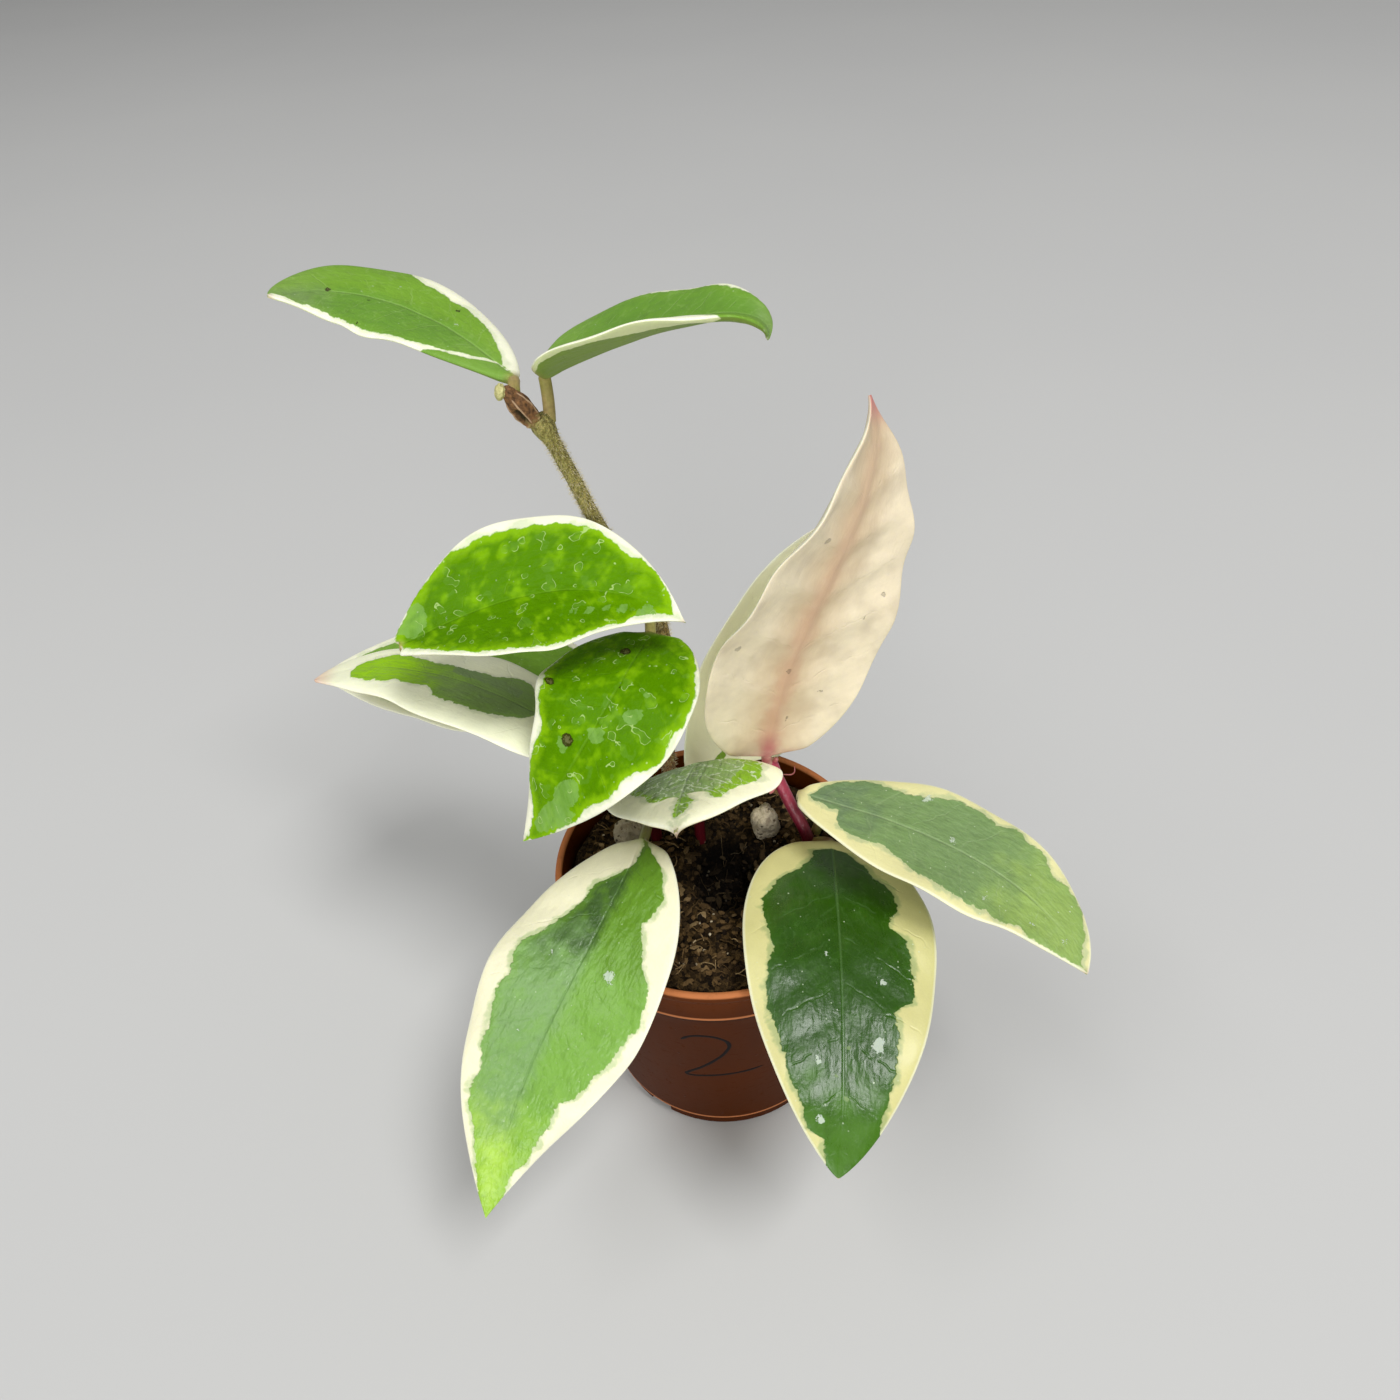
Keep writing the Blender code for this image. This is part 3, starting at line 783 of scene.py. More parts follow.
    @staticmethod
    def _shadow(recipe: Recipe, here: Wire) -> Wire:
        """Painted shade: how dark the mix is painted, wholly so in the hollow and partly round
        the middle, where the leaves shade it.
        """
        x, y, z = recipe.split(here)
        off_middle = (x - 4.0) * (x - 4.0) + (y - 1.0) * (y - 1.0)
        return recipe.fall(z, 48.8, 53.4).most(recipe.fall(off_middle, 50.0, 210.0) * 0.72)

    def _spot(self, draw: Random, low: float, high: float) -> tuple[float, float]:
        """A random place on the surface between two shares of its radius."""
        reach = self._edge() * sqrt(draw.uniform(low**2, high**2))
        turn = draw.uniform(0, 2 * pi)
        return reach * cos(turn), reach * sin(turn)

    def _pebble(
        self, bm: bmesh.types.BMesh, draw: Random, size: Point, sunk: float, shade: float
    ) -> None:
        """Add one irregular lump that lies on the surface.

        Args:
            bm: The mesh that it is added to.
            draw: The seeded random draws.
            size: Its half sizes in millimetres.
            sunk: The share of its height below the surface.
            shade: How light it is, from 0 to 1.
        """
        x, y = self._spot(draw, 0.0, 0.965)
        layer = bm.verts.layers.float_vector["shade"]
        made = bmesh.ops.create_icosphere(bm, subdivisions=1, radius=1.0)["verts"]
        turn = Matrix.Rotation(draw.uniform(0, 6.28), 3, "Z") @ Matrix.Rotation(
            draw.uniform(-0.6, 0.6), 3, "X"
        )
        base = Vector((x, y, self._skin(x, y) + size[2] * (1 - 2 * sunk)))
        for vertex in made:
            bump = Vector([draw.uniform(0.72, 1.15) * part for part in vertex.co])
            vertex.co = (turn @ stretched(bump, size) + base) * MM
            vertex[layer] = (shade, 0.0, 0.0)

    def _loose(self) -> None:
        """Scatter crumbs, bark chips, fibres and pale grains."""
        draw = Random(self.seed)
        bm = bmesh.new()
        bm.verts.layers.float_vector.new("shade")
        for _ in range(self.crumbs):
            side = draw.uniform(0.16, 0.62)
            size = (side * draw.uniform(0.8, 1.6), side, side * draw.uniform(0.6, 1.0))
            self._pebble(bm, draw, size, 0.3, draw.uniform(0.05, 0.55))
        for _ in range(self.chips):
            side = draw.uniform(0.4, 0.95)
            size = (side * draw.uniform(1.3, 2.4), side, draw.uniform(0.2, 0.55))
            self._pebble(bm, draw, size, 0.2, draw.uniform(0.3, 0.75))
        for _ in range(self.grains):
            side = draw.uniform(0.18, 0.42)
            self._pebble(bm, draw, (side, side * 0.9, side * 0.8), 0.25, draw.uniform(0.86, 1.0))
        for _ in range(self.fibres):
            self._fibre(bm, draw)
        piece(bm, "peat_crumbs_and_bark", self._crumb(), crease=35.0)

    def _crumb(self) -> bpy.types.Material:
        """Crumbs from near black to tan and pale grit, by the shade each one carries, with
        painted shade in and round the hollow.
        """
        recipe = Recipe("peat_crumbs")
        shade = recipe.split(recipe.attribute("shade"))[0]
        here = recipe.place()
        fine = recipe.noise(here, 2.6, 4.0)
        colour = recipe.mix(recipe.step(shade, 0.1, 0.55), tone(22, 15, 8), tone(98, 76, 46))
        colour = recipe.mix(recipe.step(shade, 0.5, 0.8), colour, tone(150, 126, 88))
        colour = recipe.mix(recipe.step(shade, 0.82, 0.9), colour, tone(188, 174, 146))
        # Painted shade: crumbs in and round the hollow are painted near black.
        colour = recipe.mix(self._shadow(recipe, here) * 0.85, colour, tone(8, 5, 3))
        return recipe.finish(
            Base_Color=recipe.dimmed(colour, fine * 1.2 + 1.0),
            Roughness=0.9,
            Specular_IOR_Level=0.15,
            Normal=recipe.relief(fine * 0.25),
        )

    def _fibre(self, bm: bmesh.types.BMesh, draw: Random) -> None:
        """Add one thin bent fibre that lies on the surface."""
        layer = bm.verts.layers.float_vector["shade"]
        x, y = self._spot(draw, 0.0, 0.9)
        turn, length = draw.uniform(0, 2 * pi), draw.uniform(1.2, 3.6)
        bend = draw.uniform(-1.2, 1.2)
        thick, shade = draw.uniform(0.06, 0.15), draw.uniform(0.3, 0.86)
        path = []
        for step in range(5):
            along = step / 4
            x += cos(turn + bend * along) * length / 4
            y += sin(turn + bend * along) * length / 4
            reach = min(1.0, self._edge() / max(1.0, hypot(x, y) + 0.2))
            lift = 0.25 + 0.2 * sin(pi * along)
            path.append(Vector((x * reach, y * reach, self._skin(x * reach, y * reach) + lift)))
        before = set(bm.verts)
        tube(bm, path, lambda along, turn: thick, 3)
        for vertex in bm.verts:
            if vertex not in before:
                vertex[layer] = (shade, 0.0, 0.0)


@dataclass(frozen=True)
class Pumice:
    """One rough grey-beige stone with open pores."""

    node: str
    centre: Point
    size: Point
    turn: Point
    seed: float

    def build(self) -> None:
        """Shape a fine ball into the stone and open its pores."""
        bm = bmesh.new()
        bmesh.ops.create_icosphere(bm, subdivisions=6, radius=1.0)
        turn = Matrix.Rotation(radians(self.turn[2]), 3, "Z")
        turn = turn @ Matrix.Rotation(radians(self.turn[1]), 3, "Y")
        turn = turn @ Matrix.Rotation(radians(self.turn[0]), 3, "X")
        for vertex in bm.verts:
            way = vertex.co.copy()
            swell = 1.0 + 0.24 * noise.noise(way * 1.3 + Vector((self.seed, 0, 0)))
            swell *= 1.0 + 0.4 * (sum(part**4 for part in way) ** -0.25 - 1.1)
            spread = noise.voronoi(way * 2.3 + Vector((0, self.seed, 0)))[0]
            gate = eased(wobble(*(way * 1.9)), -0.4, 0.1)
            pore = -0.24 * (1 - eased(spread[0], 0.1, 0.36)) * gate
            fine = noise.voronoi(way * 6.5 + Vector((self.seed, 0, 3)))[0]
            pore -= 0.05 * (1 - eased(fine[0], 0.05, 0.4))
            ragged = 0.03 * noise.noise(way * 9.0) + 0.05 * noise.noise(way * 3.6)
            scale = swell * (1 + pore + ragged) * 0.985
            shaped = Vector([part * side * scale for part, side in zip(way, self.size)])
            vertex.co = (turn @ shaped + Vector(self.centre)) * MM
        piece(bm, self.node + "_stone", self._stone(), [self.node], 180.0)

    def _stone(self) -> bpy.types.Material:
        """Dusty pumice, darker in its pores and stained by peat in patches."""
        recipe = Recipe(self.node + "_finish")
        here = recipe.place()
        cloud = recipe.noise(here, 0.5, 3.0)
        colour = recipe.mix(cloud * 1.6 + 0.5, tone(140, 124, 94), tone(228, 218, 192))
        pores = recipe.cells(here, 0.95)
        rough_parts = recipe.step(recipe.noise(here, 0.6, 1.0), -0.02, 0.06)
        open_pore = recipe.fall(pores + cloud * 0.5, 0.2, 0.42) * rough_parts
        colour = recipe.mix(open_pore * 0.85, colour, tone(50, 38, 24))
        stain = recipe.step(recipe.noise(here, 0.5, 4.0), -0.04, 0.16)
        colour = recipe.mix(stain * 0.6, colour, tone(104, 80, 50))
        fine = recipe.noise(here, 5.0, 4.0)
        return recipe.finish(
            Base_Color=recipe.dimmed(colour, fine * 0.4 + 1.0),
            Roughness=0.95,
            Normal=recipe.relief(fine * 0.12 + pores * 0.2),
        )


class Bark(Enum):
    """The kinds of stem skin: slot, low colour, high colour and their heights."""

    OLIVE = ("stem_olive", tone(140, 104, 66), tone(146, 138, 72), 84.0, 112.0)
    DARK_RED = ("stem_dark_red", tone(92, 14, 26), tone(110, 74, 52), 56.0, 72.0)
    CRIMSON = ("stem_crimson", tone(100, 14, 34), tone(172, 66, 86), 57.0, 73.0)


@dataclass(frozen=True)
class Stem:
    """A stem that stands in the mix, with its side shoots."""

    node: str
    root: tuple[float, float]
    points: tuple[Point, ...]
    radius: float
    bark: Bark
    shoots: tuple[tuple[Point, ...], ...] = ()
    nodes: tuple[tuple[float, float], ...] = ()
    hairs: int = 0
    foot: float = 43.2
    taper: float = 0.92
    hair_foot: float = 60.0
    seed: int = 23

    def build(self) -> None:
        """Sweep the stem and its shoots, and add its hairs."""
        start = ((*self.root, self.foot), (*self.root, self.foot + 11.0))
        bm = bmesh.new()
        path = smooth_path(start + self.points, 14)
        total = sum((b - a).length for a, b in zip(path, path[1:]))

        def radius(along: float, turn: float) -> float:
            """The main stem's radius, swollen at its nodes."""
            swell = sum(size * bell(along, total * at, 2.2) for at, size in self.nodes)
            ridge = 0.03 * wobble(along * 0.9, cos(turn) * 2, sin(turn) * 2)
            return self.radius * (1 + (self.taper - 1) * along / total) + swell + ridge

        tube(bm, path, radius, 28)
        for shoot in self.shoots:
            side = smooth_path(shoot, 12)
            tube(bm, side, lambda along, turn: self.radius * self.taper, 24)
            path += side
        piece(bm, self.node + "_skin", self._skin(), [self.node], 60.0)
        if self.hairs:
            self._fuzz(path)

    def _skin(self) -> bpy.types.Material:
        """Bark that changes colour up the stem, with lengthwise streaks."""
        low, high, bottom, top = self.bark.value[1:]
        recipe = Recipe(self.node + "_bark")
        here = recipe.place()
        z = recipe.split(here)[2]
        patchy = recipe.noise(here, 0.35, 3.0)
        colour = recipe.mix(recipe.step(z + patchy * 14.0, bottom, top), low, high)
        streak = recipe.noise(recipe.scaled(here, (1.0, 1.0, 0.18)), 2.2, 3.0)
        hairy = self.bark is Bark.OLIVE
        speck = recipe.noise(here, 3.4, 3.0)
        if hairy:
            clump = recipe.noise(recipe.scaled(here, (1.0, 1.0, 0.6)), 2.0, 3.0)
            tuft = recipe.step(clump, -0.02, 0.12)
            colour = recipe.mix(tuft * 0.5, colour, tone(186, 172, 106))
            bare = recipe.step(clump * -1.0, 0.0, 0.14)
            colour = recipe.mix(bare * 0.6, colour, tone(92, 78, 30))
        light = speck * (1.4 if hairy else 0.25) + streak * 0.5 + 1.0
        height = streak * 0.15 + speck * (0.4 if hairy else 0.05)
        return recipe.finish(
            Base_Color=recipe.dimmed(colour, light),
            Roughness=patchy * 0.15 + (0.78 if hairy else 0.36),
            Normal=recipe.relief(height),
            Subsurface_Weight=0.05,
            Subsurface_Scale=0.0006,
        )

    def _fuzz(self, path: list[Vector]) -> None:
        """Set short pale hairs over the skin above the mix.

        Args:
            path: The stem's points and then its shoots', in millimetres.
        """
        draw = Random(self.seed)
        bm = bmesh.new()
        free = [i for i in range(1, len(path) - 1) if path[i].z > self.hair_foot]
        for _ in range(self.hairs):
            index = draw.choice(free)
            point = path[index].lerp(path[index + 1], draw.random())
            ahead = path[index + 1] - path[index]
            if ahead.length > 4:  # from the stem's end to a shoot's start
                continue
            ahead.normalize()
            turn = draw.uniform(0, 2 * pi)
            side = ahead.orthogonal().normalized()
            out = side * cos(turn) + ahead.cross(side) * sin(turn)
            length = draw.uniform(0.35, 0.85)
            lean = (out + ahead * draw.uniform(-0.7, 0.5)).normalized()
            root = point + out * self.radius * 0.95
            matrix = lean.to_track_quat("Z", "Y").to_matrix().to_4x4()
            matrix.translation = (root + lean * length / 2) * MM
            bmesh.ops.create_cone(
                bm,
                cap_ends=True,
                segments=3,
                radius1=0.045 * MM,
                radius2=0.006 * MM,
                depth=length * MM,
                matrix=matrix,
            )
        recipe = Recipe(self.node + "_hair")
        pale = recipe.noise(recipe.place(), 0.8)
        colour = recipe.mix(pale + 0.5, tone(206, 194, 140), tone(240, 228, 196))
        finish = recipe.finish(Base_Color=colour, Roughness=0.8)
        piece(bm, self.node + "_hairs", finish, crease=180.0)


@dataclass(frozen=True)
class DryStub:
    """The dry, split end of the tall stem, with the pale bud beside it."""

    foot: Point = (-22.8, 23.3, 136.4)
    end: Point = (-26.2, 21.3, 143.2)
    width: float = 1.65
    bud: Point = (-26.75, 20.9, 142.75)
    bud_size: Point = (0.8, 0.8, 1.35)

    def build(self) -> None:
        """Shape the split husk and the bud."""
        self._husk()
        self._bud()

    def _husk(self) -> None:
        """A spindle with a slot and a hollow on the side that faces the front."""
        foot, end = Vector(self.foot), Vector(self.end)
        ahead = (end - foot).normalized()
        front = Vector((-0.1, -0.8, 0.6))
        front = (front - ahead * front.dot(ahead)).normalized()
        side = ahead.cross(front)
        rows, columns = 84, 72
        length = (end - foot).length

        def place(row: int, turn: float) -> tuple[Vector, dict]:
            """A point of the husk's skin."""
            t = row / rows
            body = self.width * (0.78 + 0.3 * sin(pi * min(1.0, t * 1.25))) * (1 - t**16) ** 0.5
            body *= 1.0 - 0.2 * eased(t, 0.5, 1.0)
            body *= 1.0 + 0.08 * wobble(t * 7, cos(turn) * 1.5, sin(turn) * 1.5)
            lumps = wobble(t * 17, cos(turn) * 4, sin(turn) * 4) * eased(t, 0.72, 0.86)
            away = turn - pi
            open_part = eased(t, 0.07, 0.2) * (1 - eased(t, 0.72, 0.86))
            slot = bell(away, 0.62, 0.34) * eased(t, 0.1, 0.24) * (1 - eased(t, 0.46, 0.62))
            dish = bell(away, -0.4, 0.55, 4) * open_part
            rim = bell(away, 0.16, 0.12) + bell(away, -1.08, 0.12) + bell(away, 1.22, 0.14)
            rim *= open_part
            collar = bell(t, 0.075, 0.03) * eased(wobble(turn * 1.9, 2.0), -0.05, 0.2)
            reach = body * (1 - 0.62 * slot - 0.24 * dish + 0.08 * rim + 0.16 * collar)
            reach *= 1 + 0.2 * lumps
            out = front * -cos(turn) + side * sin(turn)
            dry = (t, slot - lumps * 0.8, rim + collar * 1.5)
            return foot + ahead * length * t + out * reach, {"dry": dry}

        bm = bmesh.new()
        layers = {"dry": bm.verts.layers.float_vector.new("dry")}
        sleeve(bm, rows, columns, place, layers)
        recipe = Recipe("dry_husk")
        t, slot, rim = recipe.split(recipe.attribute("dry"))
        streak = recipe.noise(recipe.place(), 1.6, 4.0)
        colour = recipe.mix(streak * 2.4 + 0.5, tone(66, 42, 18), tone(140, 98, 56))
        colour = recipe.mix(recipe.step(slot, 0.2, 0.7), colour, tone(54, 42, 12))
        colour = recipe.mix(recipe.step(rim, 0.35, 1.0) * 0.8, colour, tone(198, 166, 132))
        foot_end = recipe.fall(t + streak * 0.5, 0.03, 0.2)
        colour = recipe.mix(foot_end, colour, tone(146, 126, 74))
        normal = recipe.relief(streak * 0.3)
        finish = recipe.finish(Base_Color=colour, Roughness=0.8, Normal=normal)
        piece(bm, "dry_split_stub", finish, crease=60.0)

    def _bud(self) -> None:
        """A small pale yellow-green bud at the stub's end."""
        bm = bmesh.new()
        bmesh.ops.create_icosphere(bm, subdivisions=4, radius=1.0)
        lean = Matrix.Rotation(radians(12.0), 3, "Y")
        for vertex in bm.verts:
            way = vertex.co.copy()
            swell = 1 + 0.14 * noise.noise(way * 2.2) + 0.07 * noise.noise(way * 6)
            shaped = stretched(way, self.bud_size)
            vertex.co = (lean @ shaped * swell + Vector(self.bud)) * MM
        recipe = Recipe("pale_bud")
        cloud = recipe.noise(recipe.place(), 1.2, 3.0)
        colour = recipe.mix(cloud * 2.0 + 0.5, tone(150, 146, 84), tone(220, 214, 150))
        normal = recipe.relief(cloud * 0.3)
        finish = recipe.finish(Base_Color=colour, Roughness=0.6, Normal=normal)
        piece(bm, "pale_bud", finish, crease=180.0)


@dataclass(frozen=True)
class Sprigs:
    """Fine pink bits on and beside the crimson stem: a bud, a stub and a root."""

    bud: tuple[Point, ...] = ((12.6, 10.6, 71.0), (12.8, 9.6, 72.2), (12.9, 8.9, 73.3))
    stub: tuple[Point, ...] = ((13.2, 8.2, 68.0), (12.0, 7.3, 67.0), (11.4, 6.9, 66.0))
    thread: tuple[Point, ...] = (
        (13.6, 14.0, 63.4),
        (14.6, 12.6, 64.9),
        (16.4, 12.2, 65.4),
        (16.7, 12.4, 67.3),
    )
    radii: Point = (0.5, 0.55, 0.13)

    def build(self) -> None:
        """Sweep each bit as a thin closed tube."""
        bm = bmesh.new()
        for points, radius in zip((self.bud, self.stub, self.thread), self.radii):
            path = smooth_path(points, 6)
            total = sum((b - a).length for a, b in zip(path, path[1:]))

            def swell(along: float, turn: float, r: float = radius, t: float = total) -> float:
                """A blunt end on the thick bits."""
                return r * sqrt(max(0.03, 1 - (along / t) ** 6))

            tube(bm, path, swell, 12)
        recipe = Recipe("pink_shoots")
        cloud = recipe.noise(recipe.place(), 0.8, 3.0)
        colour = recipe.mix(cloud + 0.5, tone(190, 96, 104), tone(214, 140, 132))
        finish = recipe.finish(Base_Color=colour, Roughness=cloud * 0.1 + 0.4)
        piece(bm, "pink_bud_stub_and_root", finish)


CREAM = tone(238, 234, 200)
WHITE_CREAM = tone(240, 240, 214)
LEAF_BACK = tone(150, 166, 84)
CREAM_BACK = tone(230, 224, 188)
TAN_STALK = tone(172, 146, 98)
RED_BROWN_STALK = tone(140, 90, 70)
PALE_RIM_AND_HIGHLIGHT = tone(240, 241, 218)
WATER_MARK = tone(190, 218, 138)
PALE_SPECK = tone(206, 220, 190)
CHALK = tone(204, 216, 200)
GREY_BACK = tone(188, 172, 146)
TAN_BACK = tone(204, 176, 138)
ROSY_BACK = tone(196, 134, 108)
CRIMSON_END = tone(196, 92, 108)
SCAR_EDGE = tone(52, 42, 18)
SCAR_CORE = tone(118, 112, 76)
PINK_POINT = tone(196, 110, 96)
PINK_BLUSH = tone(214, 148, 138)


@dataclass(frozen=True)
class Paint:
    """Colours and wear of one leaf's two faces."""

    margin: Colour
    base: Colour
    middle: Colour
    tip: Colour
    veil: Colour
    glow: Colour
    vein: Colour
    stalk: Colour = RED_BROWN_STALK
    back: Colour = LEAF_BACK
    back_margin: Colour = CREAM_BACK
    veiled: float = 0.3
    glowing: float = 0.3
    slant: float = 0.0
    young: float = 0.28
    ripe: float = 0.66
    flush: float = 0.0
    blush: float = 0.0
    marks: float = 0.0
    specks: float = 0.3
    scarred: float = 0.9
    rib: float = 0.3
    net: float = 0.1
    rough: float = 0.34
    gloss: float = 0.3
    wrinkle: float = 1.0
    ragged: float = 1.0

    def material(self, name: str, seed: float, spacing: float) -> bpy.types.Material:
        """Mix the leaf's material.

        Args:
            name: The material's name.
            seed: Shifts the patterns, so that no two leaves match.
            spacing: Distance between side veins in millimetres.

        Returns:
            The finished material.
        """
        r = Recipe(name)
        across, along, face = r.split(r.attribute("leaf_place"))
        green, share, rim = r.split(r.attribute("leaf_zones"))
        fleck, scar, stain = r.split(r.attribute("leaf_marks"))
        here = r.joined(across, along, face * 0.4 + seed)
        swept = along - across.size() * 0.62
        broad, fine = r.noise(here, 0.3, 2.0), r.noise(here, 1.1, 3.0)
        micro = r.noise(here, 3.6, 3.0)
        streak = r.noise(r.joined(swept, across * 0.22, seed), 0.75, 4.0)

        # Green inside its ragged border, and a pale halo just outside it.
        rag = green + (broad * 1.2 + fine * 1.1 + streak * 1.5) * self.ragged
        inside = r.step(rag, -0.12, 0.16)
        haze = r.noise(here, 0.35, 2.0)
        halo = r.step(rag + haze * 3.5, -1.1, -0.1) * self.veiled

        # The green: from base to tip, lime patches, lime on one half (partly painted light),
        # dusk, and grey film with patches of painted sheen.
        grown = share + broad * 0.28
        leaf = r.mix(r.step(grown, self.young - 0.22, self.young), self.base, self.middle)
        leaf = r.mix(r.step(grown, self.ripe, self.ripe + 0.26), leaf, self.tip)
        # Lime on one half: partly the leaf's own colour, partly painted light, standing for the
        # half that catches no sheen while the other half stays duller.
        one_half = r.step(across * self.slant + streak * 3.0, -0.6, 2.6)
        patch = r.step(r.noise(here, 0.31, 2.0) + streak * 0.3, -0.02, 0.26)
        border = r.fall(rag + broad * 3.0, 0.2, 2.2)
        glow = (patch * 0.8).most(border) * self.glowing
        if self.slant:
            glow = glow.most(one_half * (0.45 + self.glowing * 0.4))
        leaf = r.mix(glow, leaf, self.glow)
        dusk = r.step(r.noise(here, 0.5, 4.0), 0.05, 0.25)
        leaf = r.mix(dusk * 0.4, leaf, r.dimmed(leaf, micro * 0.2 + 0.7))
        # Grey film, and on some leaves patches of painted sheen where a highlight falls.
        film = r.step(stain + fine * 1.6 + broad * 1.2, 0.0, 0.14)
        leaf = r.mix(film * (streak * 1.2 + 0.62), leaf, self.veil)

        # The midrib, the swept side veins and the fine net between them.
        ribs = r.fall(across.size(), 0.05, 0.34)
        ribs = ribs * r.fall(share, 0.6, 0.95) * r.step(share, 0.0, 0.05)
        phase = swept / spacing + broad * 0.3
        line = (phase.part() - 0.5).size()
        run = r.step(across.size(), 0.2, 1.6) * r.step(rim, 0.4, 3.5)
        side_veins = r.fall(line, 0.0, 0.04) * run * r.step(haze, -0.1, 0.06)
        warped = r.joined(swept * 0.9 + fine * 2.0, across * 0.6 + broad * 3.0, seed)
        cell = r.cells(warped, 0.5, "DISTANCE_TO_EDGE")
        net = r.fall(cell, 0.01, 0.07) * r.step(fine, -0.12, 0.1)
        lines = (side_veins * 1.4).most(net) * self.net
        leaf = r.mix(ribs * self.rib + lines, leaf, self.vein)

        # The upper face: margin, a pale rim that is partly painted highlight, and green.
        skin = r.mix(halo, self.margin, self.veil)
        # Painted highlight along the rim, partly the margin's own paler edge.
        edge = r.fall(rim, 0.12, 0.6)
        skin = r.mix(edge * 0.6, skin, PALE_RIM_AND_HIGHLIGHT)
        upper = r.mix(inside, skin, leaf)
        upper = r.dimmed(upper, micro * 0.1 + broad * 0.14 + 1.0)

        # Water marks, pale specks and chalk on the upper face.
        trace = r.noise(here, 0.4, 1.5)
        curl = r.fall((trace - 0.12).size(), 0.004, 0.014)
        curl = curl * r.step(r.noise(here, 0.5, 0.0), -0.04, 0.05) * inside
        dried = r.step(trace, 0.11, 0.14) * inside
        upper = r.mix(dried * self.marks * 0.17, upper, self.veil)
        upper = r.mix(curl * self.marks, upper, WATER_MARK)
        points = r.cells(here, 1.05)
        lucky = r.step(r.split(points.sister("Color"))[0], 0.86, 0.9)
        dots = r.fall(points + micro * 0.3, 0.06, 0.18) * lucky
        upper = r.mix(dots * self.specks, upper, PALE_SPECK)
        chalk = r.step(fleck + fine * 1.7 + micro * 1.5, -0.02, 0.12)
        upper = r.mix(chalk * 0.72, upper, CHALK)

        # The underside, with its flush along the midrib and at both ends.
        under = r.mix(inside * 0.9, self.back_margin, self.back)
        under = r.dimmed(under, micro * 0.08 + broad * 0.2 + streak * 0.12 + 1.0)
        cool = r.step(r.noise(here, 0.14, 2.0), -0.02, 0.2)
        under = r.mix(cool * self.flush * 0.8, under, GREY_BACK)
        far = across.size() + broad * 3.0
        under = r.mix(r.fall(far, 1.5, 10.0) * self.flush * 1.3, under, TAN_BACK)
        rosy = r.fall(far, 0.0, 3.6) * (1 - share * 0.75)
        under = r.mix(rosy * self.flush, under, ROSY_BACK)
        foot = r.fall(share, 0.0, 0.08) * r.fall(far, 0.2, 2.6)
        ends = foot.most(r.step(share, 0.91, 1.0))
        under = r.mix(ends * self.flush * 1.5, under, CRIMSON_END)

        # Both faces together, then scars, tip, blush and stalk.
        top = r.step(face, -0.2, 0.2)
        both = r.mix(top, under, upper)
        bite = r.step(scar + micro * 0.6 + fine * 0.5, -0.03, 0.05)
        core = r.step(scar + micro * 2.2, 0.3, 0.6)
        cork = r.mix(core * 0.6, SCAR_EDGE, SCAR_CORE)
        both = r.mix(bite * self.scarred, both, cork)
        tipped = r.step(share, 0.975, 1.0)
        both = r.mix(tipped * 0.3 * (1 - inside), both, PINK_POINT)
        both = r.mix(r.step(share, 0.88, 0.99) * self.blush, both, PINK_BLUSH)
        blade = r.step(share, -0.015, 0.03)
        stalk = r.mix(broad * 1.4 + 0.3, self.stalk, self.back)
        colour = r.mix(blade, r.dimmed(stalk, micro * 0.6 + streak * 0.5 + 1.0), both)

        # Gloss and relief.
        rough = broad * 0.2 + micro * 0.08 + chalk * 0.25 + self.rough + (1 - top) * 0.14
        rough = rough + film * 0.14 + (1 - inside) * 0.08
        crinkle = r.noise(r.joined(across * 1.6, along * 0.7, seed), 0.5, 2.0)
        dimple = r.noise(here, 1.2, 1.0)
        height = (crinkle * 0.34 + cell.least(0.3) * 0.1 + dimple * 0.05) * self.wrinkle
        height = height * (inside * 0.7 + 0.3) + micro * 0.012 + curl * self.marks * 0.06
        height = height - side_veins * 0.05 - ribs * 0.09 * top + chalk * 0.04
        height = height + inside * 0.05 * top - bite * 0.15
        return r.finish(
            Base_Color=colour,
            Roughness=rough,
            Normal=r.relief(height),
            IOR=1.45,
            Specular_IOR_Level=self.gloss,
            Subsurface_Weight=0.1,
            Subsurface_Radius=(0.9, 1.0, 0.35),
            Subsurface_Scale=0.001,
        )


FRESH = Paint(
    margin=WHITE_CREAM, base=tone(118, 158, 64), middle=tone(102, 146, 50),
    tip=tone(116, 146, 80), veil=tone(150, 178, 112), glow=tone(124, 166, 44),
    vein=tone(156, 188, 110), stalk=TAN_STALK, back=tone(102, 132, 14),
    back_margin=tone(216, 222, 170),
    glowing=0.2, slant=1.0, rib=0.25, net=0.18, rough=0.42, gloss=0.24, wrinkle=0.7, ragged=0.5,
)
BRIGHT = Paint(
    margin=WHITE_CREAM, base=tone(80, 128, 0), middle=tone(82, 132, 0), tip=tone(96, 146, 0),
    veil=tone(126, 168, 84), glow=tone(140, 190, 14), vein=tone(138, 184, 60), stalk=TAN_STALK,
    glowing=0.7, marks=0.6, rib=0.1, net=0.04, rough=0.3, gloss=0.05, wrinkle=0.8, ragged=0.75,
)
FRONT = Paint(
    margin=CREAM, base=tone(62, 92, 40), middle=tone(122, 161, 92), tip=tone(164, 204, 70),
    veil=tone(156, 184, 116), glow=tone(120, 172, 34), vein=tone(84, 126, 50),
    stalk=tone(110, 96, 56),
    young=0.4, slant=-1.0, veiled=0.6, specks=0.4, rib=0.34, net=0.14, rough=0.33, gloss=0.45,
    wrinkle=1.25,
)
MISTY = Paint(
    margin=tone(226, 222, 164), base=tone(104, 128, 94), middle=tone(120, 148, 94),
    tip=tone(146, 174, 92), veil=tone(166, 184, 138), glow=tone(122, 156, 88),
    vein=tone(166, 188, 140), stalk=tone(120, 80, 60),
    ripe=0.5, veiled=0.6, specks=0.75, net=0.14, rough=0.44,
)
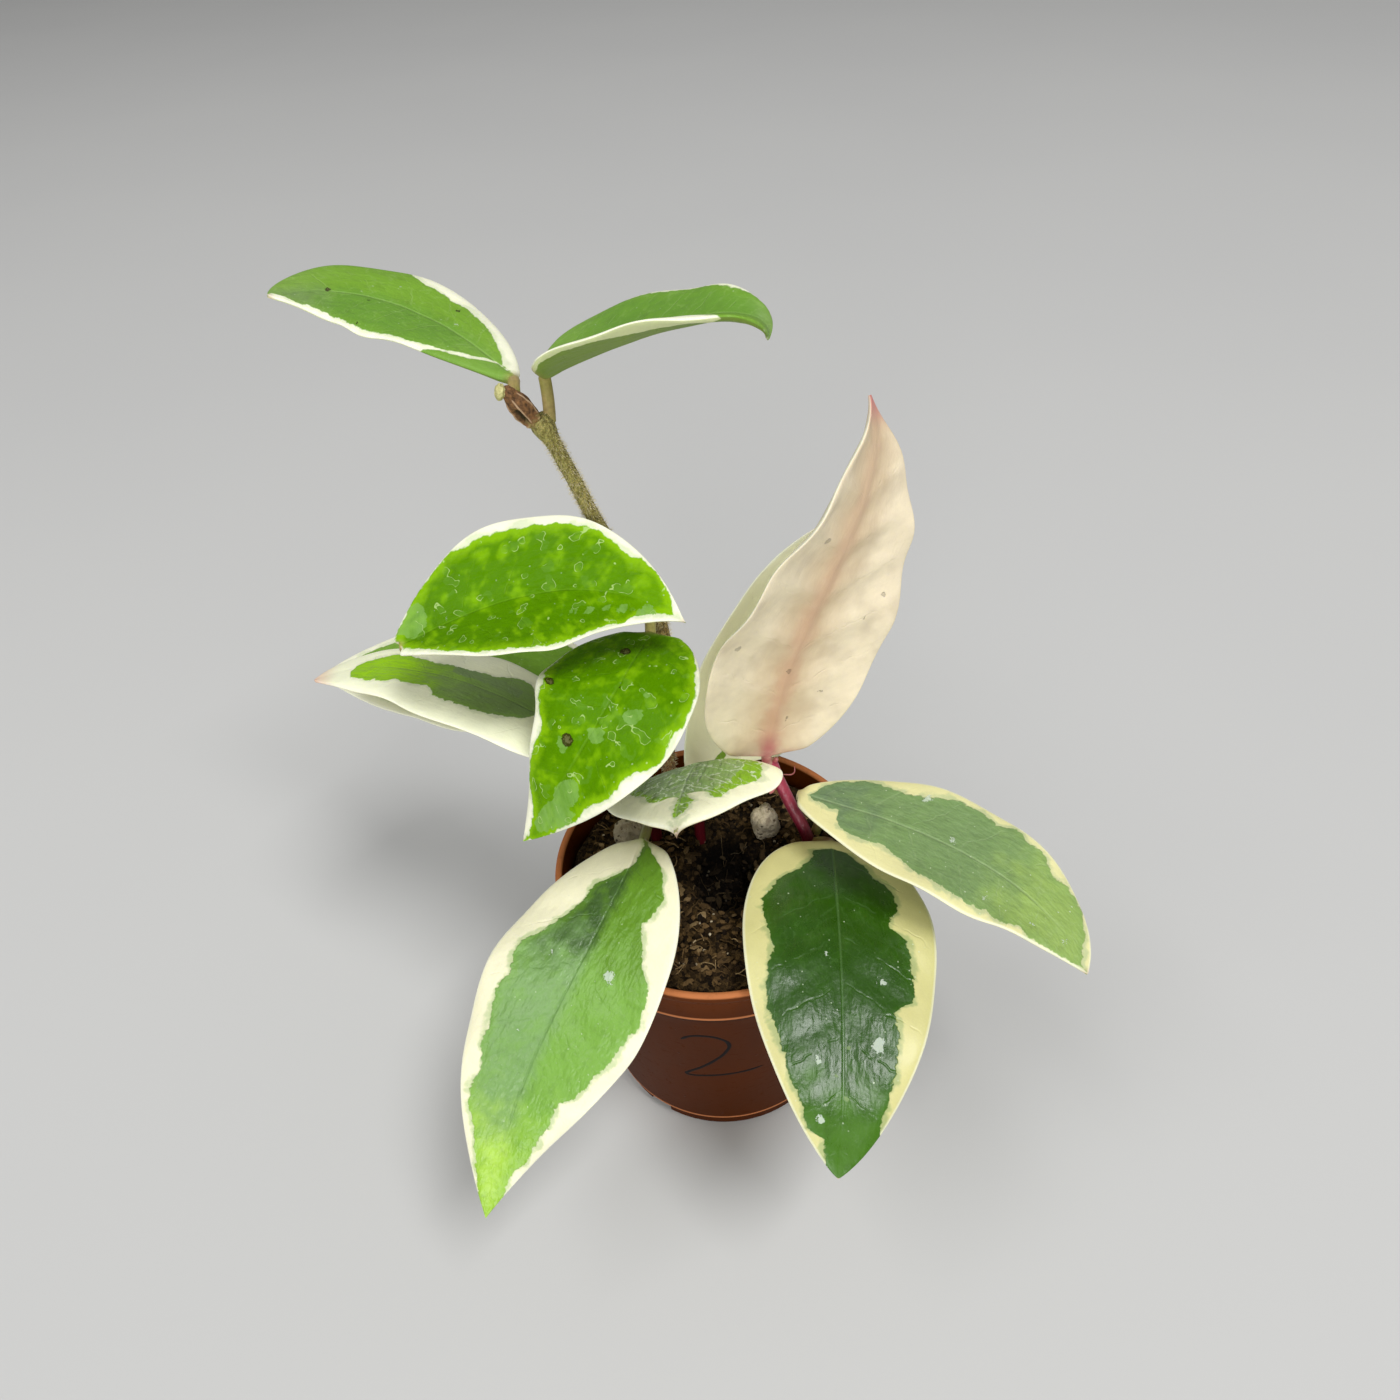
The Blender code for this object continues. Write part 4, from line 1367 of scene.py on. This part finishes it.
DEEP = Paint(
    margin=tone(208, 203, 140), base=tone(60, 84, 48), middle=tone(38, 76, 2),
    tip=tone(68, 112, 22), veil=tone(130, 154, 96), glow=tone(58, 104, 14),
    vein=tone(96, 132, 76), stalk=tone(120, 60, 56),
    veiled=0.6, specks=0.6, net=0.12, rough=0.3, gloss=0.45, wrinkle=0.42,
)
PALE = Paint(
    margin=tone(252, 252, 214), base=tone(110, 138, 44), middle=tone(110, 142, 50),
    tip=tone(136, 182, 30), veil=tone(132, 156, 110), glow=tone(134, 184, 20),
    vein=tone(150, 178, 100),
    slant=-1.0, flush=0.08, blush=0.4, veiled=0.2, wrinkle=1.2,
)
MARBLED = Paint(
    margin=tone(236, 236, 204), base=tone(102, 130, 84), middle=tone(112, 144, 78),
    tip=tone(118, 150, 60), veil=tone(146, 168, 122), glow=tone(136, 182, 22),
    vein=tone(214, 226, 200),
    slant=-0.35, glowing=0.9, flush=0.08, blush=0.5, veiled=0.4, net=0.85, wrinkle=2.4,
)
LOWER = Paint(
    margin=tone(250, 252, 218), base=tone(138, 164, 102), middle=tone(126, 156, 82),
    tip=tone(150, 202, 10), veil=tone(124, 146, 100), glow=tone(122, 168, 20),
    vein=tone(120, 150, 80),
    ripe=0.4, blush=0.5, veiled=0.2,
)
ROSY = Paint(
    margin=tone(238, 228, 196), base=tone(100, 150, 60), middle=tone(100, 150, 60),
    tip=tone(100, 150, 60), veil=tone(216, 204, 176), glow=tone(120, 170, 60),
    vein=tone(226, 206, 180), stalk=tone(186, 84, 92), back=tone(236, 220, 188),
    back_margin=tone(238, 224, 194),
    flush=0.5, scarred=0.36, blush=0.35, veiled=0.0, rough=0.42,
)


@dataclass(frozen=True)
class Section:
    """One cross-section of a leaf, with its lengths in millimetres.

    Its rim follows a curve of the given power, t is the share of the blade (below
    0 on the stalk) and along is the distance from the blade's base.
    """

    middle: Vector
    ahead: Vector
    side: Vector
    width: float
    half: float
    power: float
    t: float
    along: float

    @property
    def up(self) -> Vector:
        """The direction out of the upper face."""
        return self.side.cross(self.ahead)


@dataclass(frozen=True)
class Leaf:
    """One leaf: a round stalk from start to base, then a blade from base to tip.

    A border is a row of points, each a share along the blade and a place across it
    from -1 to 1. Borders come in twos, low and high: green lies between those of
    greens, and grey film between those of veils. A fleck, scar, or film and sheen
    patch is a share along, a place across and a radius in millimetres; the patches
    are grey film, and on some leaves painted sheen.
    """

    node: str
    slot: str
    paint: Paint
    start: Point
    knee: Point
    base: Point
    rise: Point
    arch: Point
    tip: Point
    face: Point
    face_tip: Point
    half_width: float
    fullness: float
    taper: float
    fold: float
    cup: float
    greens: tuple[Border, ...] = ()
    veils: tuple[Border, ...] = ()
    flecks: tuple[Point, ...] = ()
    scars: tuple[Point, ...] = ()
    film_and_sheen_patches: tuple[Point, ...] = ()
    lobe: float = 1.0
    drip: float = 0.0
    wave: float = 0.5
    waves: float = 3.0
    pucker: float = 0.1
    seed: float = 0.0

    STALK_ROWS = 14
    BLADE_ROWS = 96
    COLUMNS = 96
    STALK_RADIUS = 0.95
    BLADE_HALF = 0.56
    STALK_LENGTH = 4.0
    SIDE_VEINS = 7.0
    SWEEP = 0.62

    def build(self) -> None:
        """Wrap a grid round the stalk and blade, and paint it."""
        rows = self._rows()
        bm = bmesh.new()
        names = ("leaf_place", "leaf_zones", "leaf_marks")
        layers = {name: bm.verts.layers.float_vector.new(name) for name in names}
        sleeve(bm, len(rows) - 1, self.COLUMNS, lambda i, turn: self._skin(rows[i], turn), layers)
        spacing = rows[-1].along / self.SIDE_VEINS
        finish = self.paint.material(self.node + "_wax", self.seed, spacing)
        piece(bm, self.node + "_blade", finish, [self.node], 75.0)

    def _width(self, t: float) -> float:
        """Half the blade's width at t."""
        if t <= 0 or t >= 1:
            return 0.0
        peak = self.fullness / (self.fullness + self.taper)
        shape = (t / peak) ** self.fullness * ((1 - t) / (1 - peak)) ** self.taper
        return self.half_width * shape * (1 - self.drip * eased(t, 0.78, 0.95))

    def _rows(self) -> list[Section]:
        """The sections along the stalk and the blade.

        Returns:
            One section for each row of the grid.
        """
        blade = [Vector(p) for p in (self.base, self.rise, self.arch, self.tip)]
        first, last = Vector(self.face).normalized(), Vector(self.face_tip).normalized()
        stalk = [Vector(p) for p in (self.start, self.knee, self.base)]
        stalk[0] = stalk[0] + (stalk[0] - stalk[1]).normalized() * 0.9
        side = bezier(blade, 0.0)[1].cross(first).normalized()
        rows = []
        for step in range(self.STALK_ROWS):
            share = step / self.STALK_ROWS
            middle, ahead = bezier(stalk, share)
            flat = (side - ahead * side.dot(ahead)).normalized()
            sizes = (self.STALK_RADIUS, self.STALK_RADIUS, 2.0)
            left = share - 1.0
            rows.append(Section(middle, ahead, flat, *sizes, left, left * self.STALK_LENGTH))
        along, before = 0.0, blade[0]
        for step in range(self.BLADE_ROWS + 1):
            t = 0.5 - 0.5 * cos(pi * step / self.BLADE_ROWS)
            middle, ahead = bezier(blade, t)
            along += (middle - before).length
            before = middle
            flat = ahead.cross(first.lerp(last, t)).normalized()
            neck = self.STALK_RADIUS * exp(-t / 0.02)
            body = eased(t, 0.0, 0.07)
            half = self.STALK_RADIUS + (self.BLADE_HALF - self.STALK_RADIUS) * body
            half *= 1 - 0.55 * eased(t, 0.8, 1.0)
            width = hypot(self._width(t), neck)
            if t >= 1:
                width = half = 0.0
            rows.append(Section(middle, ahead, flat, width, half, 2.0 + 7.0 * body, t, along))
        return rows

    def _skin(self, row: Section, turn: float) -> tuple[Vector, dict]:
        """A point of the leaf's skin and what the paint needs to know there.

        Args:
            row: The section that it lies in.
            turn: The turn round the section, upper face first.

        Returns:
            The point in millimetres and the vertex layers' values.
        """
        upper = turn <= pi
        spread = 1 - 2 * turn / pi if upper else -1 + 2 * (turn - pi) / pi
        across = sin(pi / 2 * abs(spread) ** 1.3) * (1 if spread >= 0 else -1)
        t, width = row.t, row.width
        thick = row.half * sqrt(max(0.0, 1 - abs(across) ** row.power))
        lift, back, x = 0.0, 0.0, across * width
        if t > 0:
            crease = tan(radians(self.fold)) * (sqrt(across**2 + 0.02) - sqrt(0.02))
            ripple = sin(2 * pi * self.waves * t + (0.0 if across > 0 else 1.9))
            lift = self._width(t) * (crease + self.cup * across**2)
            lift += self.wave * ripple * abs(across) ** 3 * sin(pi * t)
            phase = t * self.SIDE_VEINS - abs(x) * self.SWEEP / (row.along / t / self.SIDE_VEINS)
            pillow = abs(sin(pi * phase)) ** 0.8 - 0.5
            band = eased(abs(x), 0.3, 3.0) * eased(1 - abs(across), 0.0, 0.35)
            lift += self.pucker * pillow * band * sin(pi * t)
            lift += 0.22 * wobble(x * 0.16, row.along * 0.16, self.seed) * sin(pi * t)
            back = self.lobe * across**2 * exp(-t / 0.12) * eased(t, 0.0, 0.03)
            fade = eased(t, 0.0, 0.06) * (1 - t)
            if upper:
                thick -= 0.13 * bell(x, 0.0, 0.6) * fade
            else:
                thick += 0.3 * bell(x, 0.0, 0.75) * fade
        out = thick if upper else -thick
        point = row.middle + row.side * x + row.up * (lift + out) - row.ahead * back
        rim = width * (1 - abs(across))
        face = 1.0 if upper else -1.0
        if abs(across) > 0.999:
            face = 0.3
        return point, {
            "leaf_place": (x, row.along, face),
            "leaf_zones": (self._inside(self.greens, t, across, width), t, rim),
            "leaf_marks": self._marks(max(t, 0.0), across, width),
        }

    @staticmethod
    def _inside(borders: tuple[Border, ...], t: float, across: float, width: float) -> float:
        """Distance in millimetres inside the nearest region, below 0 outside.

        Args:
            borders: The regions' borders, low and high in turn.
            t: The share along the blade.
            across: The place across it.
            width: Half its width there.

        Returns:
            The signed distance.
        """
        best = -6.0
        for low, high in zip(borders[::2], borders[1::2]):
            best = max(best, min(across - level(low, t), level(high, t) - across) * width)
        return best

    def _marks(self, t: float, across: float, width: float) -> Point:
        """How deep inside pale flecks, dark scars and patches of grey film and painted sheen a
        point is.

        Args:
            t: The share along the blade.
            across: The place across it.
            width: Half its width there.

        Returns:
            The three depths in millimetres, below 0 outside.
        """
        total = (Vector(self.tip) - Vector(self.base)).length * 1.08
        found = []
        for marks in (self.flecks, self.scars, self.film_and_sheen_patches):
            best = -4.0
            for at, place, radius in marks:
                gap = hypot((t - at) * total, (across - place) * width)
                best = max(best, radius - gap)
            found.append(best)
        flecks, scars, film_and_sheen_patches = found
        return flecks, scars, max(film_and_sheen_patches, self._inside(self.veils, t, across, width))


def level(border: Border, t: float) -> float:
    """The place of a border at t, by straight lines between its points."""
    if t <= border[0][0]:
        return border[0][1]
    for (left, low), (right, high) in zip(border, border[1:]):
        if t <= right:
            return low + (high - low) * (t - left) / (right - left)
    return border[-1][1]


def border(*hundredths: float) -> Border:
    """A border from pairs in hundredths: the share along, then the place across."""
    shares = [round(part / 100, 3) for part in hundredths]
    return tuple(zip(shares[::2], shares[1::2]))


LEAVES = (
    Leaf(
        "leaf_top_left", "leaf_green", FRESH,
        start=(-25.1, 23.8, 141.4), knee=(-25.3, 25.4, 141.8), base=(-25.5, 28.0, 141.0),
        rise=(-40.0, 46.5, 147.5), arch=(-53.5, 49.5, 149.5), tip=(-63.5, 41.0, 152.0),
        face=(0.3, -0.15, 0.95), face_tip=(0.1, -0.2, 1.0),
        half_width=9.6, fullness=0.72, taper=0.76, fold=7.0, cup=-0.1,
        wave=0.3, seed=3.1,
        greens=(
            border(3, 0, 6, 5, 8, -2, 11, -45, 14, -58, 17, -74, 20, -80, 26, -88, 30, -92,
                   50, -91, 56, -89, 62, -93, 65, -90, 74, -90, 77, -84, 84, -82, 86, -76,
                   89, -86, 92, -80, 96, -30, 100, 30),
            border(3, 10, 5, 12, 8, 42, 11, 48, 14, 60, 17, 66, 20, 70, 28, 74, 34, 70, 41, 76,
                   44, 74, 47, 82, 50, 93, 53, 110, 100, 120),
            border(0, -140, 100, -140),
            border(3, 0, 6, 0, 8, -37, 11, -66, 14, -76, 17, -80, 20, -90, 23, -100, 30, -130),
        ),
        scars=(
            (0.57, -0.12, 0.35), (0.75, 0.05, 0.5), (0.29, 0.55, 0.4), (0.55, -0.82, 0.25),
            (0.2, -0.5, 0.25),
        ),
        flecks=((0.25, 0.2, 0.1), (0.46, -0.4, 0.15), (0.5, 0.5, 0.1)),
    ),
    Leaf(
        "leaf_top_right", "leaf_green", FRESH,
        start=(-20.4, 24.2, 136.8), knee=(-20.1, 24.5, 139.8), base=(-20.5, 25.8, 142.8),
        rise=(-7.4, 25.2, 148.9), arch=(13.6, 16.2, 157.1), tip=(12.8, 16.9, 149.5),
        face=(0.0, 0.2, 0.98), face_tip=(0.1, -0.12, 1.0),
        half_width=9.2, fullness=0.25, taper=0.99, fold=23.5, cup=0.0,
        lobe=-0.9, wave=0.3, seed=7.7,
        greens=(
            border(0, -97, 33, -97, 40, -93, 60, -93, 62, -87, 71, -87, 75, -95, 100, -95),
            border(0, 90, 26, 93, 30, 87, 35, 72, 40, 63, 50, 55, 56, 48, 60, 40, 65, 90, 70, 110,
                   100, 110),
        ),
    ),
    Leaf(
        "leaf_middle_left", "leaf_bright_green", BRIGHT,
        start=(-42.6, 15.1, 101.5), knee=(-47.2, 11.2, 103.2), base=(-48.3, 8.3, 105.8),
        rise=(-33.3, 14.3, 110.6), arch=(-16.0, 17.2, 113.4), tip=(-1.8, 6.4, 108.3),
        face=(-0.08, -0.24, 0.99), face_tip=(-0.01, -0.5, 0.9),
        half_width=13.2, fullness=0.95, taper=1.16, fold=14.9, cup=0.08,
        lobe=2.5, seed=12.4,
        greens=(
            border(0, -90, 5, -97, 27, -97, 30, -91, 35, -88, 50, -87, 68, -88, 73, -84, 77, -76,
                   78.5, -80, 80, -93, 90, -93, 93, -80, 96, 10),
            border(0, 50, 3, 66, 6, 80, 10, 86, 15, 92, 70, 93, 78, 88, 83, 90, 85, 68, 89, 55,
                   92, 45, 95, 24, 97.5, -30),
        ),
        # Grey film patches, except the wide one near the base, (0.08, -0.6, 2.4), which is a
        # painted grey-green sheen.
        film_and_sheen_patches=(
            (0.62, 0.4, 0.9), (0.68, 0.42, 1.0), (0.74, 0.4, 0.8), (0.88, 0.45, 1.6),
            (0.08, -0.6, 2.4), (0.8, 0.38, 1.0),
        ),
        flecks=((0.17, -0.1, 0.1), (0.42, -0.62, 0.1), (0.52, -0.66, 0.12), (0.7, 0.0, 0.2)),
    ),
    Leaf(
        "leaf_middle_front", "leaf_bright_green", BRIGHT,
        start=(-8.0, 20.2, 100.4), knee=(-8.0, 17.4, 101.4), base=(-8.0, 14.0, 100.0),
        rise=(-14.5, -3.5, 102.5), arch=(-19.0, -9.5, 96.0), tip=(-32.0, -9.0, 76.0),
        face=(-0.25, -0.55, 0.8), face_tip=(-0.25, -0.6, 0.8),
        half_width=13.5, fullness=0.5, taper=0.95, fold=6.0, cup=-0.12,
        lobe=2.0, wave=0.7, seed=18.9,
        greens=(
            border(8, -98, 11, -96, 14, -93, 23, -95, 29, -97, 35, -97, 38, -92, 41, -90, 47, -96,
                   53, -92, 56, -82, 59, -80, 62, -82, 68, -87, 74, -78, 77, -78, 80, -87,
                   86, -87, 90, -100, 100, -100),
            border(0, 100, 35, 97, 38, 92, 53, 90, 59, 87, 62, 77, 68, 80, 71, 87, 77, 92, 83, 95,
                   86, 80, 89, 50, 92, 34, 95, 10, 98, 0),
        ),
        film_and_sheen_patches=(
            (0.39, -0.36, 1.6), (0.52, -0.08, 1.5), (0.63, 0.3, 1.3), (0.76, -0.25, 2.3),
            (0.84, -0.42, 2.6), (0.89, -0.3, 1.8), (0.29, -0.4, 0.8),
        ),
        scars=((0.12, 0.2, 0.85), (0.6, 0.26, 1.15), (0.4, 0.82, 0.95), (0.29, -0.03, 0.3)),
        flecks=((0.57, -0.4, 0.3), (0.4, 0.35, 0.15)),
    ),
    Leaf(
        "leaf_low_left_upper", "leaf_cream", LOWER,
        start=(-14.9, 8.6, 77.6), knee=(-14.9, 6.4, 79.0), base=(-17.0, 4.5, 79.6),
        rise=(-37.0, 19.5, 88.0), arch=(-57.0, 26.5, 91.0), tip=(-71.0, 22.5, 88.5),
        face=(0.3, 0.1, 0.9), face_tip=(0.3, 0.25, 0.9),
        half_width=12.7, fullness=0.54, taper=0.82, fold=5.0, cup=-0.12,
        wave=0.4, seed=25.3,
        greens=(
            border(20, 30, 23, -29, 26, -40, 29, -48, 32, -53, 38, -58, 47, -58, 50, -53, 53, -36,
                   56, -44, 60, -48, 65, -44, 68, -62, 72, -58, 74, -63, 80, -58, 83, -53,
                   85, 10),
            border(20, -30, 23, 19, 26, 34, 29, 58, 32, 63, 35, 53, 38, 39, 44, 34, 56, 34,
                   60, 40, 65, 48, 72, 52, 75, 46, 78, 34, 81, 29, 83, 5, 85, -40),
        ),
        veils=(
            border(26, 50, 29, 13, 50, 15, 53, 50),
            border(26, -50, 29, 34, 50, 36, 53, -50),
        ),
    ),
    Leaf(
        "leaf_low_left_under", "leaf_green", FRESH,
        start=(-14.9, 12.2, 74.6), knee=(-15.8, 13.0, 75.4), base=(-18.0, 14.0, 75.4),
        rise=(-32.0, 30.0, 83.5), arch=(-52.5, 35.0, 79.5), tip=(-74.0, 33.5, 80.5),
        face=(0.15, 0.0, 1.0), face_tip=(0.2, -0.1, 1.0),
        half_width=16.0, fullness=0.56, taper=0.8, fold=8.0, cup=-0.08,
        wave=0.4, seed=31.6,
        greens=(
            border(0, -30, 10, -45, 40, -50, 70, -45, 90, -30, 97, 10),
            border(0, 60, 10, 86, 40, 88, 70, 82, 90, 70, 97, -10),
            border(30, -60, 35, -75, 80, -78, 85, -60),
            border(30, -80, 35, -69, 80, -72, 85, -80),
        ),
    ),
    Leaf(
        "leaf_upright_front", "leaf_pink_cream", ROSY,
        start=(11.2, 9.3, 72.0), knee=(11.0, 8.6, 73.4), base=(11.0, 8.5, 75.2),
        rise=(14.6, 9.4, 108.6), arch=(29.8, 2.6, 127.6), tip=(27.2, 13.6, 141.6),
        face=(-0.1, 0.9, 0.35), face_tip=(-0.65, 0.6, 0.5),
        half_width=17.0, fullness=0.45, taper=0.83, fold=6.0, cup=-0.22,
        lobe=1.5, wave=0.7, waves=4.0, pucker=0.75, seed=37.2,
        scars=(
            (0.61, 0.4, 0.8), (0.32, 0.77, 0.75), (0.158, -0.51, 0.5), (0.089, -0.21, 0.45),
            (0.223, 0.0, 0.45), (0.36, -0.65, 0.5), (0.418, -0.8, 0.45),
        ),
    ),
    Leaf(
        "leaf_upright_back", "leaf_cream", PALE,
        start=(13.0, 8.6, 65.2), knee=(10.0, 13.2, 62.0), base=(7.5, 18.5, 62.5),
        rise=(0.0, 18.5, 72.0), arch=(8.5, 29.5, 88.0), tip=(30.0, 42.0, 103.0),
        face=(0.4, -0.9, 0.0), face_tip=(0.4, -0.75, 0.45),
        half_width=15.0, fullness=0.48, taper=0.73, fold=21.0, cup=0.28,
        lobe=3.0, seed=43.8,
        greens=(
            border(10, 50, 11.1, -72, 14.1, -72, 17.3, -16, 18, 50),
            border(10, -90, 11.1, -66, 13.3, -16, 17.3, -14, 18, -90),
        ),
    ),
    Leaf(
        "leaf_small_centre", "leaf_cream", MARBLED,
        start=(-2.2, 7.5, 62.4), knee=(-1.9, 5.9, 69.0), base=(-1.9, 5.9, 75.4),
        rise=(-2.3, 4.7, 78.0), arch=(-6.3, -7.8, 80.1), tip=(-5.7, -17.9, 84.3),
        face=(-0.13, 0.83, 0.56), face_tip=(-0.11, 0.12, 0.97),
        half_width=16.5, fullness=0.94, taper=1.68, fold=11.7, cup=-0.34,
        lobe=1.0, drip=0.47, wave=0.3, seed=49.5,
        greens=(
            border(10, -50, 20, -80, 47, -82, 53, -73, 60, -68, 66, -66, 68, -30),
            border(10, 30, 20, 55, 35, 58, 47, 68, 56, 56, 60, -40, 64, -50, 68, -68),
            border(52, 40, 58, -5, 60, 10, 62, 19, 65, 34, 67, 60),
            border(52, 50, 62, 53, 65, 49, 67, 30),
            border(56, 10, 60, -10, 65, -19, 68, -29, 72, -29, 77, -24, 80, -15, 83, 0, 85, 30),
            border(56, 0, 60, 20, 63, 0, 68, 5, 74, 10, 80, 15, 83, 13, 85, -20),
        ),
        veils=(
            border(10, -50, 30, -60, 50, -55, 60, -40, 64, 20),
            border(10, 30, 40, 55, 56, 50, 60, 40, 64, -20),
        ),
    ),
    Leaf(
        "leaf_front_left", "leaf_green", FRONT,
        start=(-11.6, 7.5, 60.4), knee=(-11.4, 4.0, 65.0), base=(-12.5, -2.0, 65.5),
        rise=(-25.0, -29.0, 60.0), arch=(-35.5, -36.0, 52.0), tip=(-41.5, -54.5, 36.0),
        face=(-0.45, -0.3, 0.9), face_tip=(0.15, -0.6, 0.8),
        half_width=15.9, fullness=0.55, taper=1.0, fold=6.0, cup=-0.12,
        wave=0.8, pucker=0.3, seed=55.1,
        greens=(
            border(0, -50, 7, -72, 12, -75, 15, -65, 18, -52, 25, -65, 32, -85, 40, -89, 48, -82,
                   57, -79, 65, -75, 68, -55, 73, -65, 82, -72, 87, -79, 90, -62, 94, -80,
                   97, -140),
            border(0, -30, 5, -12, 9, 15, 12, 38, 22, 45, 27, 55, 32, 71, 37, 76, 43, 68, 48, 75,
                   57, 71, 63, 75, 67, 68, 73, 81, 77, 83, 80, 71, 85, 75, 93, 85, 97, 140),
        ),
        flecks=((0.325, -0.37, 1.1), (0.33, 0.36, 0.6), (0.44, -0.1, 0.2), (0.55, 0.3, 0.2)),
    ),
    Leaf(
        "leaf_right", "leaf_dark_green", MISTY,
        start=(20.2, 4.8, 57.7), knee=(22.4, 5.6, 66.0), base=(16.0, 1.5, 71.0),
        rise=(38.0, -10.0, 72.4), arch=(54.0, -20.0, 69.6), tip=(58.0, -35.0, 64.0),
        face=(0.4, -0.1, 0.9), face_tip=(0.3, -0.3, 0.9),
        half_width=12.0, fullness=0.67, taper=0.9, fold=-4.5, cup=0.12,
        seed=61.9,
        greens=(
            border(2, 40, 5, -60, 8, -84, 15, -90, 18, -84, 23, -67, 30, -74, 37, -84, 45, -87,
                   50, -77, 55, -92, 60, -84, 65, -87, 70, -71, 75, -84, 82, -95, 90, -70,
                   95, -20, 97, 30),
            border(2, -40, 4, 20, 12, 23, 12.5, 63, 18, 69, 25, 56, 32, 66, 38, 79, 47, 79,
                   55, 83, 63, 79, 70, 93, 75, 76, 78, 93, 87, 93, 95, 80, 98, 30),
        ),
        flecks=(
            (0.31, -0.7, 0.8), (0.42, -0.12, 0.6), (0.6, 0.55, 0.6), (0.88, 0.2, 0.5),
            (0.77, 0.5, 0.45),
        ),
    ),
    Leaf(
        "leaf_front_right", "leaf_dark_green", DEEP,
        start=(19.8, 2.2, 56.8), knee=(21.8, 1.0, 58.4), base=(22.0, -1.0, 59.5),
        rise=(20.5, -20.5, 63.5), arch=(19.0, -43.0, 58.0), tip=(15.5, -57.0, 47.0),
        face=(0.1, -0.3, 0.95), face_tip=(0.1, -0.3, 0.95),
        half_width=16.6, fullness=0.46, taper=0.85, fold=6.0, cup=-0.08,
        wave=0.6, pucker=0.24, seed=68.4,
        greens=(
            border(2, 30, 5, -30, 12, -45, 15, -50, 18, -64, 25, -67, 32, -51, 35, -67, 43, -74,
                   53, -77, 56, -57, 63, -67, 73, -74, 82, -77, 85, -85, 90, -110, 100, -140),
            border(2, -30, 5, 36, 13, 43, 18, 69, 25, 83, 33, 76, 40, 69, 48, 79, 57, 84, 65, 79,
                   72, 83, 82, 79, 88, 86, 90, 50, 94, 60, 97, 90, 100, 140),
        ),
        # The patches along the midrib are a painted sheen: the streak of a highlight.
        film_and_sheen_patches=((0.6, 0.12, 0.5), (0.66, -0.06, 0.7), (0.73, 0.1, 0.6), (0.79, -0.04, 0.5)),
        flecks=(
            (0.65, -0.44, 1.2), (0.48, -0.42, 0.7), (0.7, 0.34, 0.75), (0.85, 0.48, 0.6),
            (0.41, 0.14, 0.5), (0.3, 0.5, 0.2), (0.56, 0.05, 0.15),
        ),
    ),
)

TALL_NODE = (-7.9, 22.0, 101.7)

STEMS = (
    Stem(
        "stem_tall",
        root=(-7.6, 19.1),
        points=(
            (-7.2, 19.4, 70.0),
            (-6.1, 21.0, 94.0),
            TALL_NODE,
            (-15.7, 25.0, 116.9),
            (-18.4, 24.4, 125.8),
            (-21.4, 23.6, 135.0),
            (-22.2, 23.6, 136.9),
        ),
        radius=1.3,
        bark=Bark.OLIVE,
        shoots=((TALL_NODE, (-20.0, 21.5, 102.6), (-32.0, 19.5, 102.6), (-41.8, 15.8, 101.6)),),
        nodes=((0.6, 0.3), (0.985, 0.72)),
        hairs=5200,
    ),
    Stem(
        "stem_left",
        root=(-11.0, 9.4),
        points=((-11.3, 9.5, 61.0), (-13.0, 10.0, 71.0), (-15.2, 10.2, 77.6)),
        radius=1.2,
        bark=Bark.DARK_RED,
        nodes=((0.99, 0.2),),
    ),
    Stem(
        "stem_small",
        root=(-2.3, 9.6),
        points=((-2.3, 9.5, 57.0), (-2.3, 7.9, 62.0)),
        radius=1.1,
        bark=Bark.DARK_RED,
    ),
    Stem(
        "stem_red",
        root=(18.3, 3.0),
        points=((18.2, 3.1, 56.8), (15.0, 6.4, 64.0), (11.6, 10.4, 71.2)),
        radius=1.25,
        bark=Bark.CRIMSON,
        nodes=((0.98, 0.3),),
    ),
)

STONES = (
    Pumice(
        "pumice_left",
        centre=(-15.8, 9.8, 54.6),
        size=(3.4, 2.8, 2.9),
        turn=(10, 20, 15),
        seed=1.7,
    ),
    Pumice(
        "pumice_right",
        centre=(10.5, 9.2, 55.6),
        size=(2.9, 2.7, 4.4),
        turn=(8, -12, 30),
        seed=5.2,
    ),
)


def main() -> None:
    """Dress the frame piece by piece, from the pot up."""
    logging.basicConfig(level=logging.INFO, format="%(name)s %(message)s")
    Studio().build()
    pot = Pot()
    pot.build()
    Peat(pot).build()
    for part in (*STONES, *STEMS, DryStub(), Sprigs(), *LEAVES):
        part.build()


if __name__ == "__main__":
    main()
